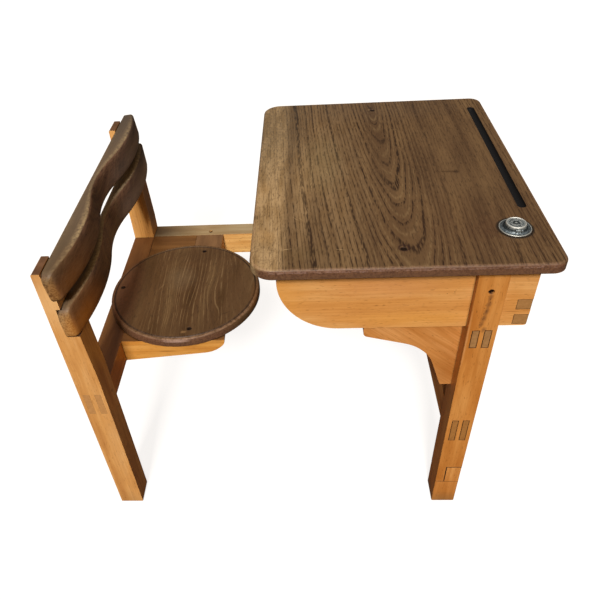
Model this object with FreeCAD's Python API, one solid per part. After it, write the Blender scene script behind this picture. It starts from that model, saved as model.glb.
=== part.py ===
import FreeCAD, Part
import math
import os

from FreeCAD import Placement, Rotation, Vector

# One-place school desk with its chair, in millimetres.
# +X runs from the chair to the desk, +Y to the side that carries the long rail,
# +Z up. All is drawn about the middle plane of the desk, then moved so that the
# origin lies on the floor under the middle of the whole piece.

# Overall
overall_length = 813.0
table_height = 670.0

# Writing top
top_width = 600.0
top_depth = 470.0
top_thick = 19.0
front_corner_radius = 36.0
rear_corner_radius = 22.5
top_arris = 5.0
top_under_arris = 2.0
groove_width = 14.5
groove_depth = 9.0
groove_setback = 28.7
groove_near_margin = 152.0
groove_far_margin = 48.5

# Book box
side_overhang = 21.0
panel_thick = 28.0
panel_height = 132.0
panel_front_setback = 38.5
panel_rear_setback = 25.5
panel_nose_radius = 100.0
panel_heel_radius = 5.0
back_rail_thick = 24.0
back_rail_height = 60.0
finger_height = 21.0
finger_gap = 11.0
finger_lift = 3.0
shelf_thick = 10.0
shelf_lift = 4.0
shelf_housing = 8.0
shelf_front_setback = 118.0

# Desk legs
leg_width = 48.0
leg_depth = 50.0
leg_setback = 347.5
lap_thick = 12.0
foot_chamfer = 4.0
splice_height = 80.0
splice_tongue_height = 50.0
splice_tongue_width = 31.0

# Rails between the desk legs
leg_rail_thick = 42.0
upper_rail_height = 39.0
stretcher_height = 60.0
stretcher_lift = 223.0
leg_tenon_thick = 11.0
leg_tenon_gap = 9.0

# Knee brackets
bracket_thick = 24.0
bracket_reach = 166.0
bracket_foot_lap = 12.0
bracket_nose = 33.0
bracket_nose_radius = 9.0
bracket_elbow_reach = 54.0
bracket_elbow_drop = 63.5
bracket_elbow_radius = 79.0
bracket_foot = 21.0

# Chair posts
post_width = 48.0
post_depth = 49.0
post_height = 657.5
post_taper = 4.5
post_taper_start = 410.0
post_neck = 26.7
post_arris = 3.0

# Back slats
upper_slat_tilt = 6.0
upper_slat_height = 54.0
upper_slat_strip = 14.5
upper_slat_rear_radius = 2.0
lower_slat_tilt = 2.5
lower_slat_height = 62.0
lower_slat_strip = 19.0
lower_slat_rear_radius = 6.0
slat_lip = 2.0
slat_gap = 18.0
slat_near_overhang = 3.0
slat_far_overhang = 49.0
slat_swell_thick = 36.0
slat_waist_thick = 14.5
slat_swell_offset = 182.0
slat_waist_radius = 300.0
slat_front_bevel = 5.5
slat_bevel_softening = 1.6
slat_end_radius = 7.0
slat_under_arris = 3.0
upper_slat_top_corner = 9.0
lower_slat_top_corner = 16.0
slat_bottom_corner = 4.0

# Seat frame
frame_height = 371.0
seat_rail_height = 55.0
seat_tenon_thick = 12.0
seat_tenon_gap = 10.0
side_rail_thick = 45.0
side_rail_height = 56.0
rail_housing = 6.0
arm_inset = 19.8
arm_thick = 26.0
arm_length = 212.0
arm_root_height = 55.0
arm_nose_height = 31.5
arm_nose_cut = 23.0
arm_belly_radius = 60.0
arm_tip_radius = 20.0
arm_tenon_thick = 12.0
arm_tenon_height = 34.0
arm_tenon_length = 16.0
front_rail_width = 65.0
front_rail_height = 45.0
front_rail_gap = 109.0
front_tenon_thick = 24.0
front_tenon_height = 30.0
front_tenon_length = 30.0
stub_tenon_length = 10.0
side_board_width = 105.0
side_board_thick = 28.0

# Seat
seat_diameter = 317.6
seat_thick = 20.5
seat_back_setback = 6.2
seat_mould_width = 7.5
seat_mould_step = 2.0
seat_mould_drop = 10.0
seat_under_arris = 4.0

# Screws and pegs
screw_head_diameter = 9.0
screw_shank_diameter = 4.5
screw_head_height = 3.0
screw_sink = 0.8
deep_sink = 3.5
top_screw_length = 45.0
leg_screw_length = 30.0
seat_screw_length = 42.0
slat_screw_length = 26.0
frame_screw_length = 40.0
seat_screw_side = 10.0
seat_screw_inset = 21.8
leg_screw_drop = 49.0
peg_diameter = 6.0
peg_inset = 14.0
peg_blind_end = 6.0

# Drop-in inkwell
well_from_rear = 57.0
well_from_near = 94.0
well_hole_diameter = 42.0
flange_diameter = 50.0
flange_edge = 1.5
flange_rise = 5.0
flange_crown_diameter = 35.5
flange_mouth_diameter = 22.0
pot_diameter = 41.0
pot_depth = 38.0
pot_wall = 2.8
pot_floor = 4.0
lid_diameter = 31.9
lid_height = 5.6
lid_rim = 1.8
lid_dish = 1.1
hinge_gap = 0.6
hinge_lift = 7.3
hinge_pin_diameter = 1.6
knuckle_diameter = 3.6
knuckle_length = 6.0
ear_thick = 2.0

# Clearances
seat_clearance = 0.3
pin_clearance = 0.06
screw_clearance = 0.05

# Worked-out places
x_back = -overall_length / 2
x_rear = overall_length / 2
x_top_front = x_rear - top_depth
z_under = table_height - top_thick
y_outer = top_width / 2 - side_overhang
leg_front = x_top_front + leg_setback
leg_rear = leg_front + leg_width
leg_inner = y_outer - leg_depth
panel_outer = y_outer - lap_thick
panel_inner = panel_outer - panel_thick
panel_front = x_top_front + panel_front_setback
panel_rear = x_rear - panel_rear_setback
panel_bottom = z_under - panel_height
post_front = x_back + post_width
post_inner = y_outer - post_depth
side_rail_inner = y_outer - side_rail_thick
frame_screw_y = side_rail_inner + front_tenon_length / 2
front_rail_back = post_front + front_rail_gap
front_rail_middle = front_rail_back + front_rail_width / 2
seat_x = x_back + seat_back_setback + seat_diameter / 2
seat_top = frame_height + seat_thick
arm_outer = -(seat_diameter / 2 - arm_inset)
arm_inner = arm_outer + arm_thick
arm_middle = (arm_outer + arm_inner) / 2
well_x = x_rear - well_from_rear
well_y = -top_width / 2 + well_from_near
hinge_offset = lid_diameter / 2 + hinge_gap + knuckle_diameter / 2
slat_half = y_outer + (slat_near_overhang + slat_far_overhang) / 2
slat_middle = (slat_far_overhang - slat_near_overhang) / 2
y_low = -max(top_width / 2, y_outer + slat_near_overhang)
y_high = max(top_width / 2, y_outer + slat_far_overhang)
reach = 2 * overall_length

up = Vector(0, 0, 1)
pieces = {}


def box(x0, x1, y0, y1, z0, z1):
    return Part.makeBox(x1 - x0, y1 - y0, z1 - z0, Vector(x0, y0, z0))


def polygon_wire(points):
    return Part.makePolygon(points + [points[0]])


def prism_xz(outline, y0, y1):
    """A closed outline of (x, z) points or a wire drawn at y = 0, from y0 to y1."""
    wire = outline
    if isinstance(outline, list):
        wire = polygon_wire([Vector(x, 0, z) for x, z in outline])
    solid = Part.Face(wire).extrude(Vector(0, y1 - y0, 0))
    solid.translate(Vector(0, y0, 0))
    return solid


def revolve(profile, centre):
    """A closed (radius, height) outline or a wire, turned about a vertical axis."""
    wire = profile
    if isinstance(profile, list):
        wire = polygon_wire([Vector(r, 0, z) for r, z in profile])
    solid = Part.Face(wire).revolve(Vector(0, 0, 0), up, 360)
    solid.translate(centre)
    return solid


def octagon(across, z):
    """The corners of an eight-sided section, as the small screws and pegs have."""
    corner = across / 2 / math.cos(math.pi / 8)
    angles = [math.pi / 8 + k * math.pi / 4 for k in range(8)]
    return [Vector(corner * math.cos(a), corner * math.sin(a), z) for a in angles]


def stack(sections):
    """A solid through eight-sided sections, given as (across, z) from bottom to top."""
    rings = [octagon(across, z) for across, z in sections]
    faces = [Part.Face(polygon_wire(rings[0])), Part.Face(polygon_wire(rings[-1]))]
    for low, high in zip(rings, rings[1:]):
        for k in range(8):
            n = (k + 1) % 8
            faces.append(Part.Face(polygon_wire([low[k], low[n], high[n], high[k]])))
    return Part.makeSolid(Part.makeShell(faces))


def mirrored(solid):
    """The same piece on the other side of the desk."""
    return solid.mirror(Vector(0, 0, 0), Vector(0, 1, 0))


def arc(start, middle, end):
    return Part.Arc(start, middle, end).toShape()


def line(start, end):
    return Part.makeLine(start, end)


def corner_point(centre, radius, degrees):
    """A point on a circle in the XZ plane."""
    angle = math.radians(degrees)
    return centre + Vector(radius * math.cos(angle), 0, radius * math.sin(angle))


def vertical_edges(solid, x, y):
    """The vertical edges of a solid that stand at one corner in plan."""
    found = []
    for edge in solid.Edges:
        ends = [v.Point for v in edge.Vertexes]
        if len(ends) == 2 and all(abs(p.x - x) < 0.01 and abs(p.y - y) < 0.01 for p in ends):
            found.append(edge)
    return found


def level_edges(solid, x, z):
    """The edges of a solid that run along Y at one point of its side view."""
    found = []
    for edge in solid.Edges:
        ends = [v.Point for v in edge.Vertexes]
        if len(ends) == 2 and all(abs(p.x - x) < 0.01 and abs(p.z - z) < 0.01 for p in ends):
            found.append(edge)
    return found


def rim_edges(solid, z):
    """All edges of a solid that lie in one level plane."""
    low = z - 0.01
    high = z + 0.01
    return [e for e in solid.Edges if e.BoundBox.ZMin > low and e.BoundBox.ZMax < high]


# Writing top


def make_desk_top():
    half = top_width / 2
    board = box(x_top_front, x_rear, -half, half, z_under, table_height)
    for x, radius in ((x_top_front, front_corner_radius), (x_rear, rear_corner_radius)):
        corners = vertical_edges(board, x, -half) + vertical_edges(board, x, half)
        board = board.makeFillet(radius, corners)
    board = board.makeFillet(top_arris, rim_edges(board, table_height))
    board = board.makeChamfer(top_under_arris, rim_edges(board, z_under))
    board = board.cut(pen_groove())
    hole = Part.makeCylinder(well_hole_diameter / 2, reach, Vector(well_x, well_y, 0))
    return board.cut(hole)


def pen_groove():
    """A round-bottomed groove with upright round ends, open at the top."""
    radius = groove_width / 2
    x = x_rear - groove_setback
    start = -top_width / 2 + groove_near_margin + radius
    end = top_width / 2 - groove_far_margin - radius
    z = table_height - groove_depth + radius
    tool = Part.makeCylinder(radius, end - start, Vector(x, start, z), Vector(0, 1, 0))
    tool = tool.fuse(box(x - radius, x + radius, start, end, z, z + groove_width))
    for y in (start, end):
        foot = Vector(x, y, table_height - groove_depth)
        tool = tool.fuse(Part.makeCylinder(radius, 2 * groove_width, foot))
    return tool.removeSplitter()


# Book box


def finger_levels():
    low = panel_bottom + finger_lift
    return [low, low + finger_height + finger_gap]


def finger_boxes():
    """The ends of the back rail that pass through the side panel at +Y."""
    front = panel_rear - back_rail_thick
    return [
        box(front, panel_rear, panel_inner, panel_outer, z, z + finger_height)
        for z in finger_levels()
    ]


def shelf_solid():
    """The shelf, with its two long edges housed in the side panels."""
    half = panel_inner + shelf_housing
    z = panel_bottom + shelf_lift
    front = x_top_front + shelf_front_setback
    return box(front, panel_rear - back_rail_thick, -half, half, z, z + shelf_thick)


def make_side_panel():
    """The side at +Y, with a quarter-round nose and a small round at the heel."""
    nose = Vector(panel_front + panel_nose_radius, 0, panel_bottom + panel_nose_radius)
    heel = Vector(panel_rear - panel_heel_radius, 0, panel_bottom + panel_heel_radius)
    nose_start = corner_point(nose, panel_nose_radius, 180)
    nose_end = corner_point(nose, panel_nose_radius, 270)
    heel_start = corner_point(heel, panel_heel_radius, 270)
    heel_end = corner_point(heel, panel_heel_radius, 360)
    front_top = Vector(panel_front, 0, z_under)
    rear_top = Vector(panel_rear, 0, z_under)
    outline = Part.Wire([
        line(front_top, nose_start),
        arc(nose_start, corner_point(nose, panel_nose_radius, 225), nose_end),
        line(nose_end, heel_start),
        arc(heel_start, corner_point(heel, panel_heel_radius, 315), heel_end),
        line(heel_end, rear_top),
        line(rear_top, front_top),
    ])
    panel = prism_xz(outline, panel_inner, panel_outer)
    for finger in finger_boxes():
        panel = panel.cut(finger)
    return panel.cut(shelf_solid())


def make_back_rail():
    front = panel_rear - back_rail_thick
    top = panel_bottom + back_rail_height
    rail = box(front, panel_rear, -panel_inner, panel_inner, panel_bottom, top)
    for finger in finger_boxes():
        rail = rail.fuse(finger)
        rail = rail.fuse(mirrored(finger))
    return rail.removeSplitter()


# Desk legs and the rails between them


def twin_tenons(x_middle, thick, gap, y_inner, z0, z1):
    """Two tenons side by side that pass out through the leg or post at +Y."""
    tenons = []
    for side in (-1, 1):
        centre = x_middle + side * (thick + gap) / 2
        x0 = centre - thick / 2
        tenons.append(box(x0, x0 + thick, y_inner, y_outer, z0, z1))
    return tenons


def leg_tenons(z0, z1):
    middle = leg_front + leg_width / 2
    return twin_tenons(middle, leg_tenon_thick, leg_tenon_gap, leg_inner, z0, z1)


def chamfered_foot(solid):
    """Breaks the four edges of a foot where it meets the floor."""
    return solid.makeChamfer(foot_chamfer, rim_edges(solid, 0))


def make_desk_leg():
    """The leg at +Y: full below the box, a lap over the side panel above."""
    leg = box(leg_front, leg_rear, leg_inner, y_outer, 0, panel_bottom)
    leg = chamfered_foot(leg)
    leg = leg.fuse(box(leg_front, leg_rear, panel_outer, y_outer, panel_bottom, z_under))
    leg = leg.removeSplitter()
    levels = [
        (panel_bottom - upper_rail_height, panel_bottom),
        (stretcher_lift, stretcher_lift + stretcher_height),
    ]
    for z0, z1 in levels:
        for tenon in leg_tenons(z0, z1):
            leg = leg.cut(tenon)
    return leg


def splice_shape():
    """The new wood of a spliced foot: a block with a tongue at its rear half."""
    low = box(leg_front, leg_rear, leg_inner, y_outer, 0, splice_height)
    top = splice_height + splice_tongue_height
    tongue_front = leg_rear - splice_tongue_width
    tongue = box(tongue_front, leg_rear, leg_inner, y_outer, splice_height, top)
    return low.fuse(tongue).removeSplitter()


def make_leg_rail(z0, z1):
    middle = leg_front + leg_width / 2
    x0 = middle - leg_rail_thick / 2
    rail = box(x0, x0 + leg_rail_thick, -leg_inner, leg_inner, z0, z1)
    for tenon in leg_tenons(z0, z1):
        rail = rail.fuse(tenon)
        rail = rail.fuse(mirrored(tenon))
    return rail.removeSplitter()


def make_bracket():
    """The knee bracket at +Y, flush with the inner face of the leg."""
    tip = leg_front - bracket_reach
    elbow_x = leg_front - bracket_elbow_reach
    elbow_z = panel_bottom - bracket_elbow_drop
    nose_z = panel_bottom - bracket_nose
    foot_z = frame_height - bracket_foot_lap
    outline = [
        (leg_front, panel_bottom),
        (tip, panel_bottom),
        (tip, nose_z),
        (elbow_x, elbow_z),
        (leg_front - bracket_foot, foot_z),
        (leg_front, foot_z),
    ]
    bracket = prism_xz(outline, leg_inner, leg_inner + bracket_thick)
    bracket = bracket.makeFillet(bracket_elbow_radius, level_edges(bracket, elbow_x, elbow_z))
    return bracket.makeFillet(bracket_nose_radius, level_edges(bracket, tip, nose_z))


# Chair back


def slat_frame(strip, top, tilt):
    """Where a slat sits: the top rear corner of its section, and its backward lean."""
    return Placement(Vector(x_back + strip, 0, top), Rotation(Vector(0, 1, 0), -tilt))


def slat_tops():
    """Levels of the rear top corners of the upper and the lower slat."""
    upper = post_height - slat_lip
    drop = upper_slat_height * math.cos(math.radians(upper_slat_tilt))
    return upper, upper - drop - slat_gap


def upper_slat_frame():
    return slat_frame(upper_slat_strip, slat_tops()[0], upper_slat_tilt)


def lower_slat_frame():
    return slat_frame(lower_slat_strip, slat_tops()[1], lower_slat_tilt)


def slat_plan():
    """Plan of a slat: flat behind, in front a hollow between two swells, all in arcs."""
    rise = slat_swell_thick - slat_waist_thick
    both = (slat_swell_offset ** 2 + rise ** 2) / (2 * rise)
    swell_radius = both - slat_waist_radius
    hollow = Vector(slat_waist_thick + slat_waist_radius, 0, 0)
    edges = []
    ends = []
    for side in (-1, 1):
        crest = Vector(slat_swell_thick - swell_radius, side * slat_swell_offset, 0)
        joint = hollow + (crest - hollow) * (slat_waist_radius / both)
        run = slat_half - slat_swell_offset
        end = Vector(crest.x + math.sqrt(swell_radius ** 2 - run ** 2), side * slat_half, 0)
        top = crest + Vector(swell_radius, 0, 0)
        edges.append(arc(joint, top, end))
        ends.append((joint, end))
    edges.append(arc(ends[0][0], Vector(slat_waist_thick, 0, 0), ends[1][0]))
    rear = [Vector(0, -slat_half, 0), Vector(0, slat_half, 0)]
    edges += [line(ends[0][1], rear[0]), line(rear[0], rear[1]), line(rear[1], ends[1][1])]
    return Part.Face(Part.Wire(Part.__sortEdges__(edges)))


def make_slat(height, rear_radius, top_corner, frame):
    """A back slat with rounded long edges and rounded ends, leaning in its frame."""
    slat = slat_plan().extrude(Vector(0, 0, -height))
    corners = [e for e in slat.Edges if e.BoundBox.ZLength > height / 2 and e.BoundBox.XMin > 1
               and abs(abs(e.BoundBox.YMin) - slat_half) < 0.01]
    slat = slat.makeFillet(slat_end_radius, corners)
    slat = slat.makeChamfer(slat_front_bevel, front_arcs(slat, 0))
    for z in (0, -slat_front_bevel):
        slat = slat.makeChamfer(slat_bevel_softening, front_arcs(slat, z))
    slat = slat.makeChamfer(slat_under_arris, front_arcs(slat, -height))
    rear = [e for e in rim_edges(slat, 0) if e.BoundBox.XMax < 0.01]
    room = slat_waist_thick - slat_front_bevel - slat_bevel_softening
    slat = slat.makeFillet(min(rear_radius, 0.95 * room), rear)
    slat = slat.common(slat_elevation(height, top_corner))
    slat.translate(Vector(0, slat_middle, 0))
    slat.Placement = frame.multiply(slat.Placement)
    return slat


def front_arcs(slat, z):
    """The curved edges of a slat's front at one level."""
    return [e for e in rim_edges(slat, z) if isinstance(e.Curve, Part.Circle)]


def slat_elevation(height, top_corner):
    """The front view of a slat, with its four corners rounded off."""
    deep = 2 * slat_swell_thick
    block = box(-deep, deep, -slat_half, slat_half, -height, 0)
    for z, radius in ((0, top_corner), (-height, slat_bottom_corner)):
        ends = [e for e in rim_edges(block, z) if e.BoundBox.XLength > deep]
        block = block.makeFillet(radius, ends)
    return block


def slat_seat(height, frame):
    """What a slat takes out of a post: all in front of its rear face."""
    seat = box(0, reach, -reach, reach, -height, 0)
    seat.Placement = frame
    return seat


def make_post():
    """The post at +Y, with a sloping front and one inclined notch for each slat."""
    post = box(x_back, post_front, post_inner, y_outer, 0, post_height)
    post = chamfered_foot(post)
    upper_top, lower_top = slat_tops()
    neck_front = x_back + post_neck
    post = post.cut(box(neck_front, reach, -reach, reach, lower_top, reach))
    lean = math.tan(math.radians(upper_slat_tilt))
    lip_front = x_back + upper_slat_strip - slat_lip * lean
    post = post.cut(box(lip_front, reach, -reach, reach, upper_top - slat_lip, reach))
    post = post.cut(slat_seat(lower_slat_height, lower_slat_frame()))
    post = post.cut(slat_seat(upper_slat_height, upper_slat_frame()))
    lower_bottom = lower_top - lower_slat_height
    slope = post_taper / (lower_bottom - post_taper_start)
    wedge = [
        (post_front, post_taper_start),
        (post_front + post_taper, post_taper_start),
        (post_front + post_taper, lower_top),
        (post_front - slope * (lower_top - post_taper_start), lower_top),
    ]
    post = post.cut(prism_xz(wedge, -reach, reach))
    back_top = [e for e in rim_edges(post, post_height) if e.BoundBox.XMax < x_back + 0.01]
    post = post.makeFillet(post_arris, back_top)
    for tenon in seat_rail_tenons():
        post = post.cut(tenon)
    return post


# Seat frame


def seat_rail_tenons():
    middle = x_back + post_width / 2
    z0 = frame_height - seat_rail_height
    return twin_tenons(middle, seat_tenon_thick, seat_tenon_gap, post_inner, z0, frame_height)


def make_seat_rail():
    z0 = frame_height - seat_rail_height
    rail = box(x_back, post_front, -post_inner, post_inner, z0, frame_height)
    for tenon in seat_rail_tenons():
        rail = rail.fuse(tenon)
        rail = rail.fuse(mirrored(tenon))
    return rail.removeSplitter()


def make_side_rail():
    """The long rail, housed in the front of the post and of the desk leg."""
    z0 = frame_height - side_rail_height
    x0 = post_front - rail_housing
    x1 = leg_front + rail_housing
    return box(x0, x1, side_rail_inner, y_outer, z0, frame_height)


def centred_tenon(x_middle, thick, y0, y1, height, top, bottom):
    middle = (top + bottom) / 2
    x0 = x_middle - thick / 2
    return box(x0, x0 + thick, y0, y1, middle - height / 2, middle + height / 2)


def front_rail_far_tenon():
    z0 = frame_height - front_rail_height
    end = side_rail_inner + front_tenon_length
    return centred_tenon(front_rail_middle, front_tenon_thick, side_rail_inner, end,
                         front_tenon_height, frame_height, z0)


def front_rail_near_tenon():
    z0 = frame_height - front_rail_height
    return centred_tenon(front_rail_middle, front_tenon_thick, arm_inner - stub_tenon_length,
                         arm_inner, front_tenon_height, frame_height, z0)


def make_front_rail():
    z0 = frame_height - front_rail_height
    front = front_rail_back + front_rail_width
    rail = box(front_rail_back, front, arm_inner, side_rail_inner, z0, frame_height)
    rail = rail.fuse(front_rail_far_tenon())
    rail = rail.fuse(front_rail_near_tenon())
    return rail.removeSplitter()


def arm_tenon():
    middle = frame_height - seat_rail_height / 2
    y0 = arm_middle - arm_tenon_thick / 2
    z0 = middle - arm_tenon_height / 2
    return box(post_front - arm_tenon_length, post_front, y0, y0 + arm_tenon_thick,
               z0, z0 + arm_tenon_height)


def make_arm():
    """The tapered arm under the near side of the seat, with a round nose."""
    tip = post_front + arm_length
    root_z = frame_height - arm_root_height
    nose_z = frame_height - arm_nose_height
    belly_x = tip - arm_nose_cut
    belly_z = nose_z + (root_z - nose_z) * arm_nose_cut / arm_length
    cheek_z = belly_z + arm_nose_cut
    outline = [
        (post_front, frame_height),
        (post_front, root_z),
        (belly_x, belly_z),
        (tip, cheek_z),
        (tip, frame_height),
    ]
    arm = prism_xz(outline, arm_outer, arm_inner)
    arm = arm.makeFillet(arm_belly_radius, level_edges(arm, belly_x, belly_z))
    arm = arm.makeFillet(arm_tip_radius, level_edges(arm, tip, cheek_z))
    arm = arm.fuse(arm_tenon()).removeSplitter()
    return arm.cut(front_rail_near_tenon())


def make_side_board():
    z0 = frame_height - side_board_thick
    y0 = side_rail_inner - side_board_width
    return box(post_front, front_rail_back, y0, side_rail_inner, z0, frame_height)


# Seat


def make_seat():
    """A round seat with a stepped quarter-round moulding on its edge."""
    radius = seat_diameter / 2
    shelf = seat_thick - seat_mould_step
    inner = radius - seat_mould_width
    low = shelf - seat_mould_drop
    profile = [(0, 0), (radius - seat_under_arris, 0), (radius, seat_under_arris)]
    for degrees in (0, 45, 90):
        turn = math.radians(degrees)
        out = seat_mould_width * math.cos(turn)
        profile.append((inner + out, low + seat_mould_drop * math.sin(turn)))
    profile += [(inner, seat_thick), (0, seat_thick)]
    return revolve(profile, Vector(seat_x, 0, frame_height))


# Screws and pegs


def screw(length):
    """A countersunk screw, head up, its head's face at the origin."""
    return stack([
        (screw_shank_diameter, -length),
        (screw_shank_diameter, -screw_head_height),
        (screw_head_diameter, 0),
    ])


def screw_void(length, sink):
    """The hole a screw sits in: its own shape with clearance, open above its head."""
    gap = 2 * screw_clearance
    return stack([
        (screw_shank_diameter + gap, -length - gap),
        (screw_shank_diameter + gap, -screw_head_height),
        (screw_head_diameter + gap, 0),
        (screw_head_diameter + gap, sink),
    ])


def aimed(solid, place, outward):
    """Turns a solid's +Z to point outward, and moves it to its place."""
    moved = solid.copy()
    moved.Placement = Placement(place, Rotation(up, outward))
    return moved


def drive(group, length, sink, places, outward, holders):
    """Sets screws into their holders, with a hole for each in every holder."""
    screws = []
    for place in places:
        head = place - outward * sink
        screws.append(aimed(screw(length), head, outward))
        void = aimed(screw_void(length, sink + 1), head, outward)
        for name in holders:
            pieces[name] = pieces[name].cut(void)
    pieces[group] = Part.makeCompound(pieces[group].Solids + screws) if group in pieces \
        else Part.makeCompound(screws)


def set_screws():
    far = Vector(0, 1, 0)
    near = Vector(0, -1, 0)
    back = Vector(-1, 0, 0)
    panel_middle = (panel_inner + panel_outer) / 2
    top_x = x_top_front + top_depth / 2
    leg_x = leg_front + leg_width / 2
    leg_z = z_under - leg_screw_drop
    for side, outward, name in ((-1, near, "near"), (1, far, "far")):
        place = Vector(top_x, side * panel_middle, table_height)
        drive("top_screws", top_screw_length, screw_sink, [place], up,
              ["desk_top", "side_panel_" + name])
        place = Vector(leg_x, side * y_outer, leg_z)
        drive("leg_screws", leg_screw_length, deep_sink, [place], outward,
              ["desk_leg_" + name, "side_panel_" + name])
    rail_middle = x_back + post_width / 2
    rear = Vector(rail_middle, seat_screw_side, seat_top)
    drive("seat_screws", seat_screw_length, screw_sink, [rear], up, ["seat_disc", "seat_rail"])
    near_seat = Vector(front_rail_middle, arm_middle, seat_top)
    drive("seat_screws", seat_screw_length, screw_sink, [near_seat], up,
          ["seat_disc", "seat_arm_near"])
    far_seat = Vector(front_rail_middle, seat_diameter / 2 - seat_screw_inset, seat_top)
    drive("seat_screws", seat_screw_length, screw_sink, [far_seat], up,
          ["seat_disc", "seat_front_rail"])
    post_middle = (post_inner + y_outer) / 2
    upper_top, lower_top = slat_tops()
    slats = [
        ("back_slat_upper", upper_top, upper_slat_height),
        ("back_slat_lower", lower_top, lower_slat_height),
    ]
    for slat, top, height in slats:
        for side, name in ((-1, "near"), (1, "far")):
            place = Vector(x_back, side * post_middle, top - height / 2)
            drive("slat_screws", slat_screw_length, screw_sink, [place], back,
                  ["chair_post_" + name, slat])
    place = Vector(front_rail_middle, frame_screw_y, frame_height)
    drive("frame_screw", frame_screw_length, deep_sink, [place], up,
          ["side_rail", "seat_front_rail"])


def set_pegs():
    """One peg through the front of each post pins both tenons of the seat rail."""
    z = frame_height - seat_rail_height / 2
    y = post_inner + peg_inset
    pegs = []
    for side, name, mouth in ((-1, "near", post_front), (1, "far", post_front - rail_housing)):
        start = Vector(x_back + peg_blind_end, side * y, z)
        peg = stack([(peg_diameter, 0), (peg_diameter, mouth - start.x)])
        peg = aimed(peg, start, Vector(1, 0, 0))
        pegs.append(peg)
        for holder in ("chair_post_" + name, "seat_rail"):
            pieces[holder] = pieces[holder].cut(peg)
    pieces["rail_pegs"] = Part.makeCompound(pegs)


# Inkwell


def make_flange():
    """A spun metal ring that rests on the top, with two ears for the hinge pin."""
    edge = flange_diameter / 2
    crown = flange_crown_diameter / 2
    mouth = flange_mouth_diameter / 2
    low = seat_clearance
    profile = [
        (edge, low),
        (edge, low + flange_edge),
        (crown, flange_rise),
        (mouth, flange_rise),
        (mouth, low),
    ]
    ring = revolve(profile, Vector(0, 0, 0))
    pin_bore = Part.makeCylinder(hinge_pin_diameter / 2 + pin_clearance / 3, reach,
                                 Vector(-reach / 2, -hinge_offset, hinge_lift), Vector(1, 0, 0))
    ear_x = knuckle_length / 2 + pin_clearance + seat_clearance
    solids = [ring]
    for side in (-1, 1):
        x0 = min(side * ear_x, side * (ear_x + ear_thick))
        ear = hinge_lug(x0, x0 + ear_thick, low + flange_edge)
        solids.append(ear.cut(ring).cut(pin_bore))
    flange = Part.makeCompound(solids)
    flange.translate(Vector(well_x, well_y, table_height))
    return flange


def hinge_lug(x0, x1, base):
    """A round-topped lug that stands on the flange and holds one end of the pin."""
    radius = knuckle_diameter / 2
    drum = Part.makeCylinder(radius, x1 - x0, Vector(x0, -hinge_offset, hinge_lift), Vector(1, 0, 0))
    leg = box(x0, x1, -hinge_offset - radius, -hinge_offset + radius, base, hinge_lift)
    return drum.fuse(leg)


def make_pot():
    """The glass pot, hung under the flange."""
    outer = pot_diameter / 2
    inner = outer - pot_wall
    rim = seat_clearance
    profile = [
        (0, -pot_depth),
        (outer, -pot_depth),
        (outer, rim),
        (inner, rim),
        (inner, -pot_depth + pot_floor),
        (0, -pot_depth + pot_floor),
    ]
    return revolve(profile, Vector(well_x, well_y, table_height))


def make_lid():
    """A round cap with a raised rim, on a knuckle hinge."""
    radius = lid_diameter / 2
    low = flange_rise + seat_clearance
    top = low + lid_height
    face = top - lid_dish
    profile = [
        (0, low),
        (radius, low),
        (radius, top),
        (radius - lid_rim, top),
        (radius - lid_rim, face),
        (0, face),
    ]
    cap = revolve(profile, Vector(0, 0, 0))
    knuckle = Part.makeCylinder(knuckle_diameter / 2, knuckle_length,
                                Vector(-knuckle_length / 2, -hinge_offset, hinge_lift),
                                Vector(1, 0, 0))
    half = knuckle_length / 2
    tab_low = hinge_lift - knuckle_diameter / 2 + 0.4
    tab = box(-half, half, -hinge_offset, -radius + lid_rim / 2, tab_low,
              hinge_lift + knuckle_diameter / 2)
    cap = cap.fuse(knuckle).fuse(tab).removeSplitter()
    bore = Part.makeCylinder(hinge_pin_diameter / 2 + pin_clearance, reach,
                             Vector(-reach / 2, -hinge_offset, hinge_lift), Vector(1, 0, 0))
    cap = cap.cut(bore)
    cap.translate(Vector(well_x, well_y, table_height))
    return cap


def make_hinge_pin():
    half = knuckle_length / 2 + pin_clearance + seat_clearance + ear_thick + 0.4
    pin = Part.makeCylinder(hinge_pin_diameter / 2, 2 * half,
                            Vector(-half, -hinge_offset, hinge_lift), Vector(1, 0, 0))
    pin.translate(Vector(well_x, well_y, table_height))
    return pin


# Assembly


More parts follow.
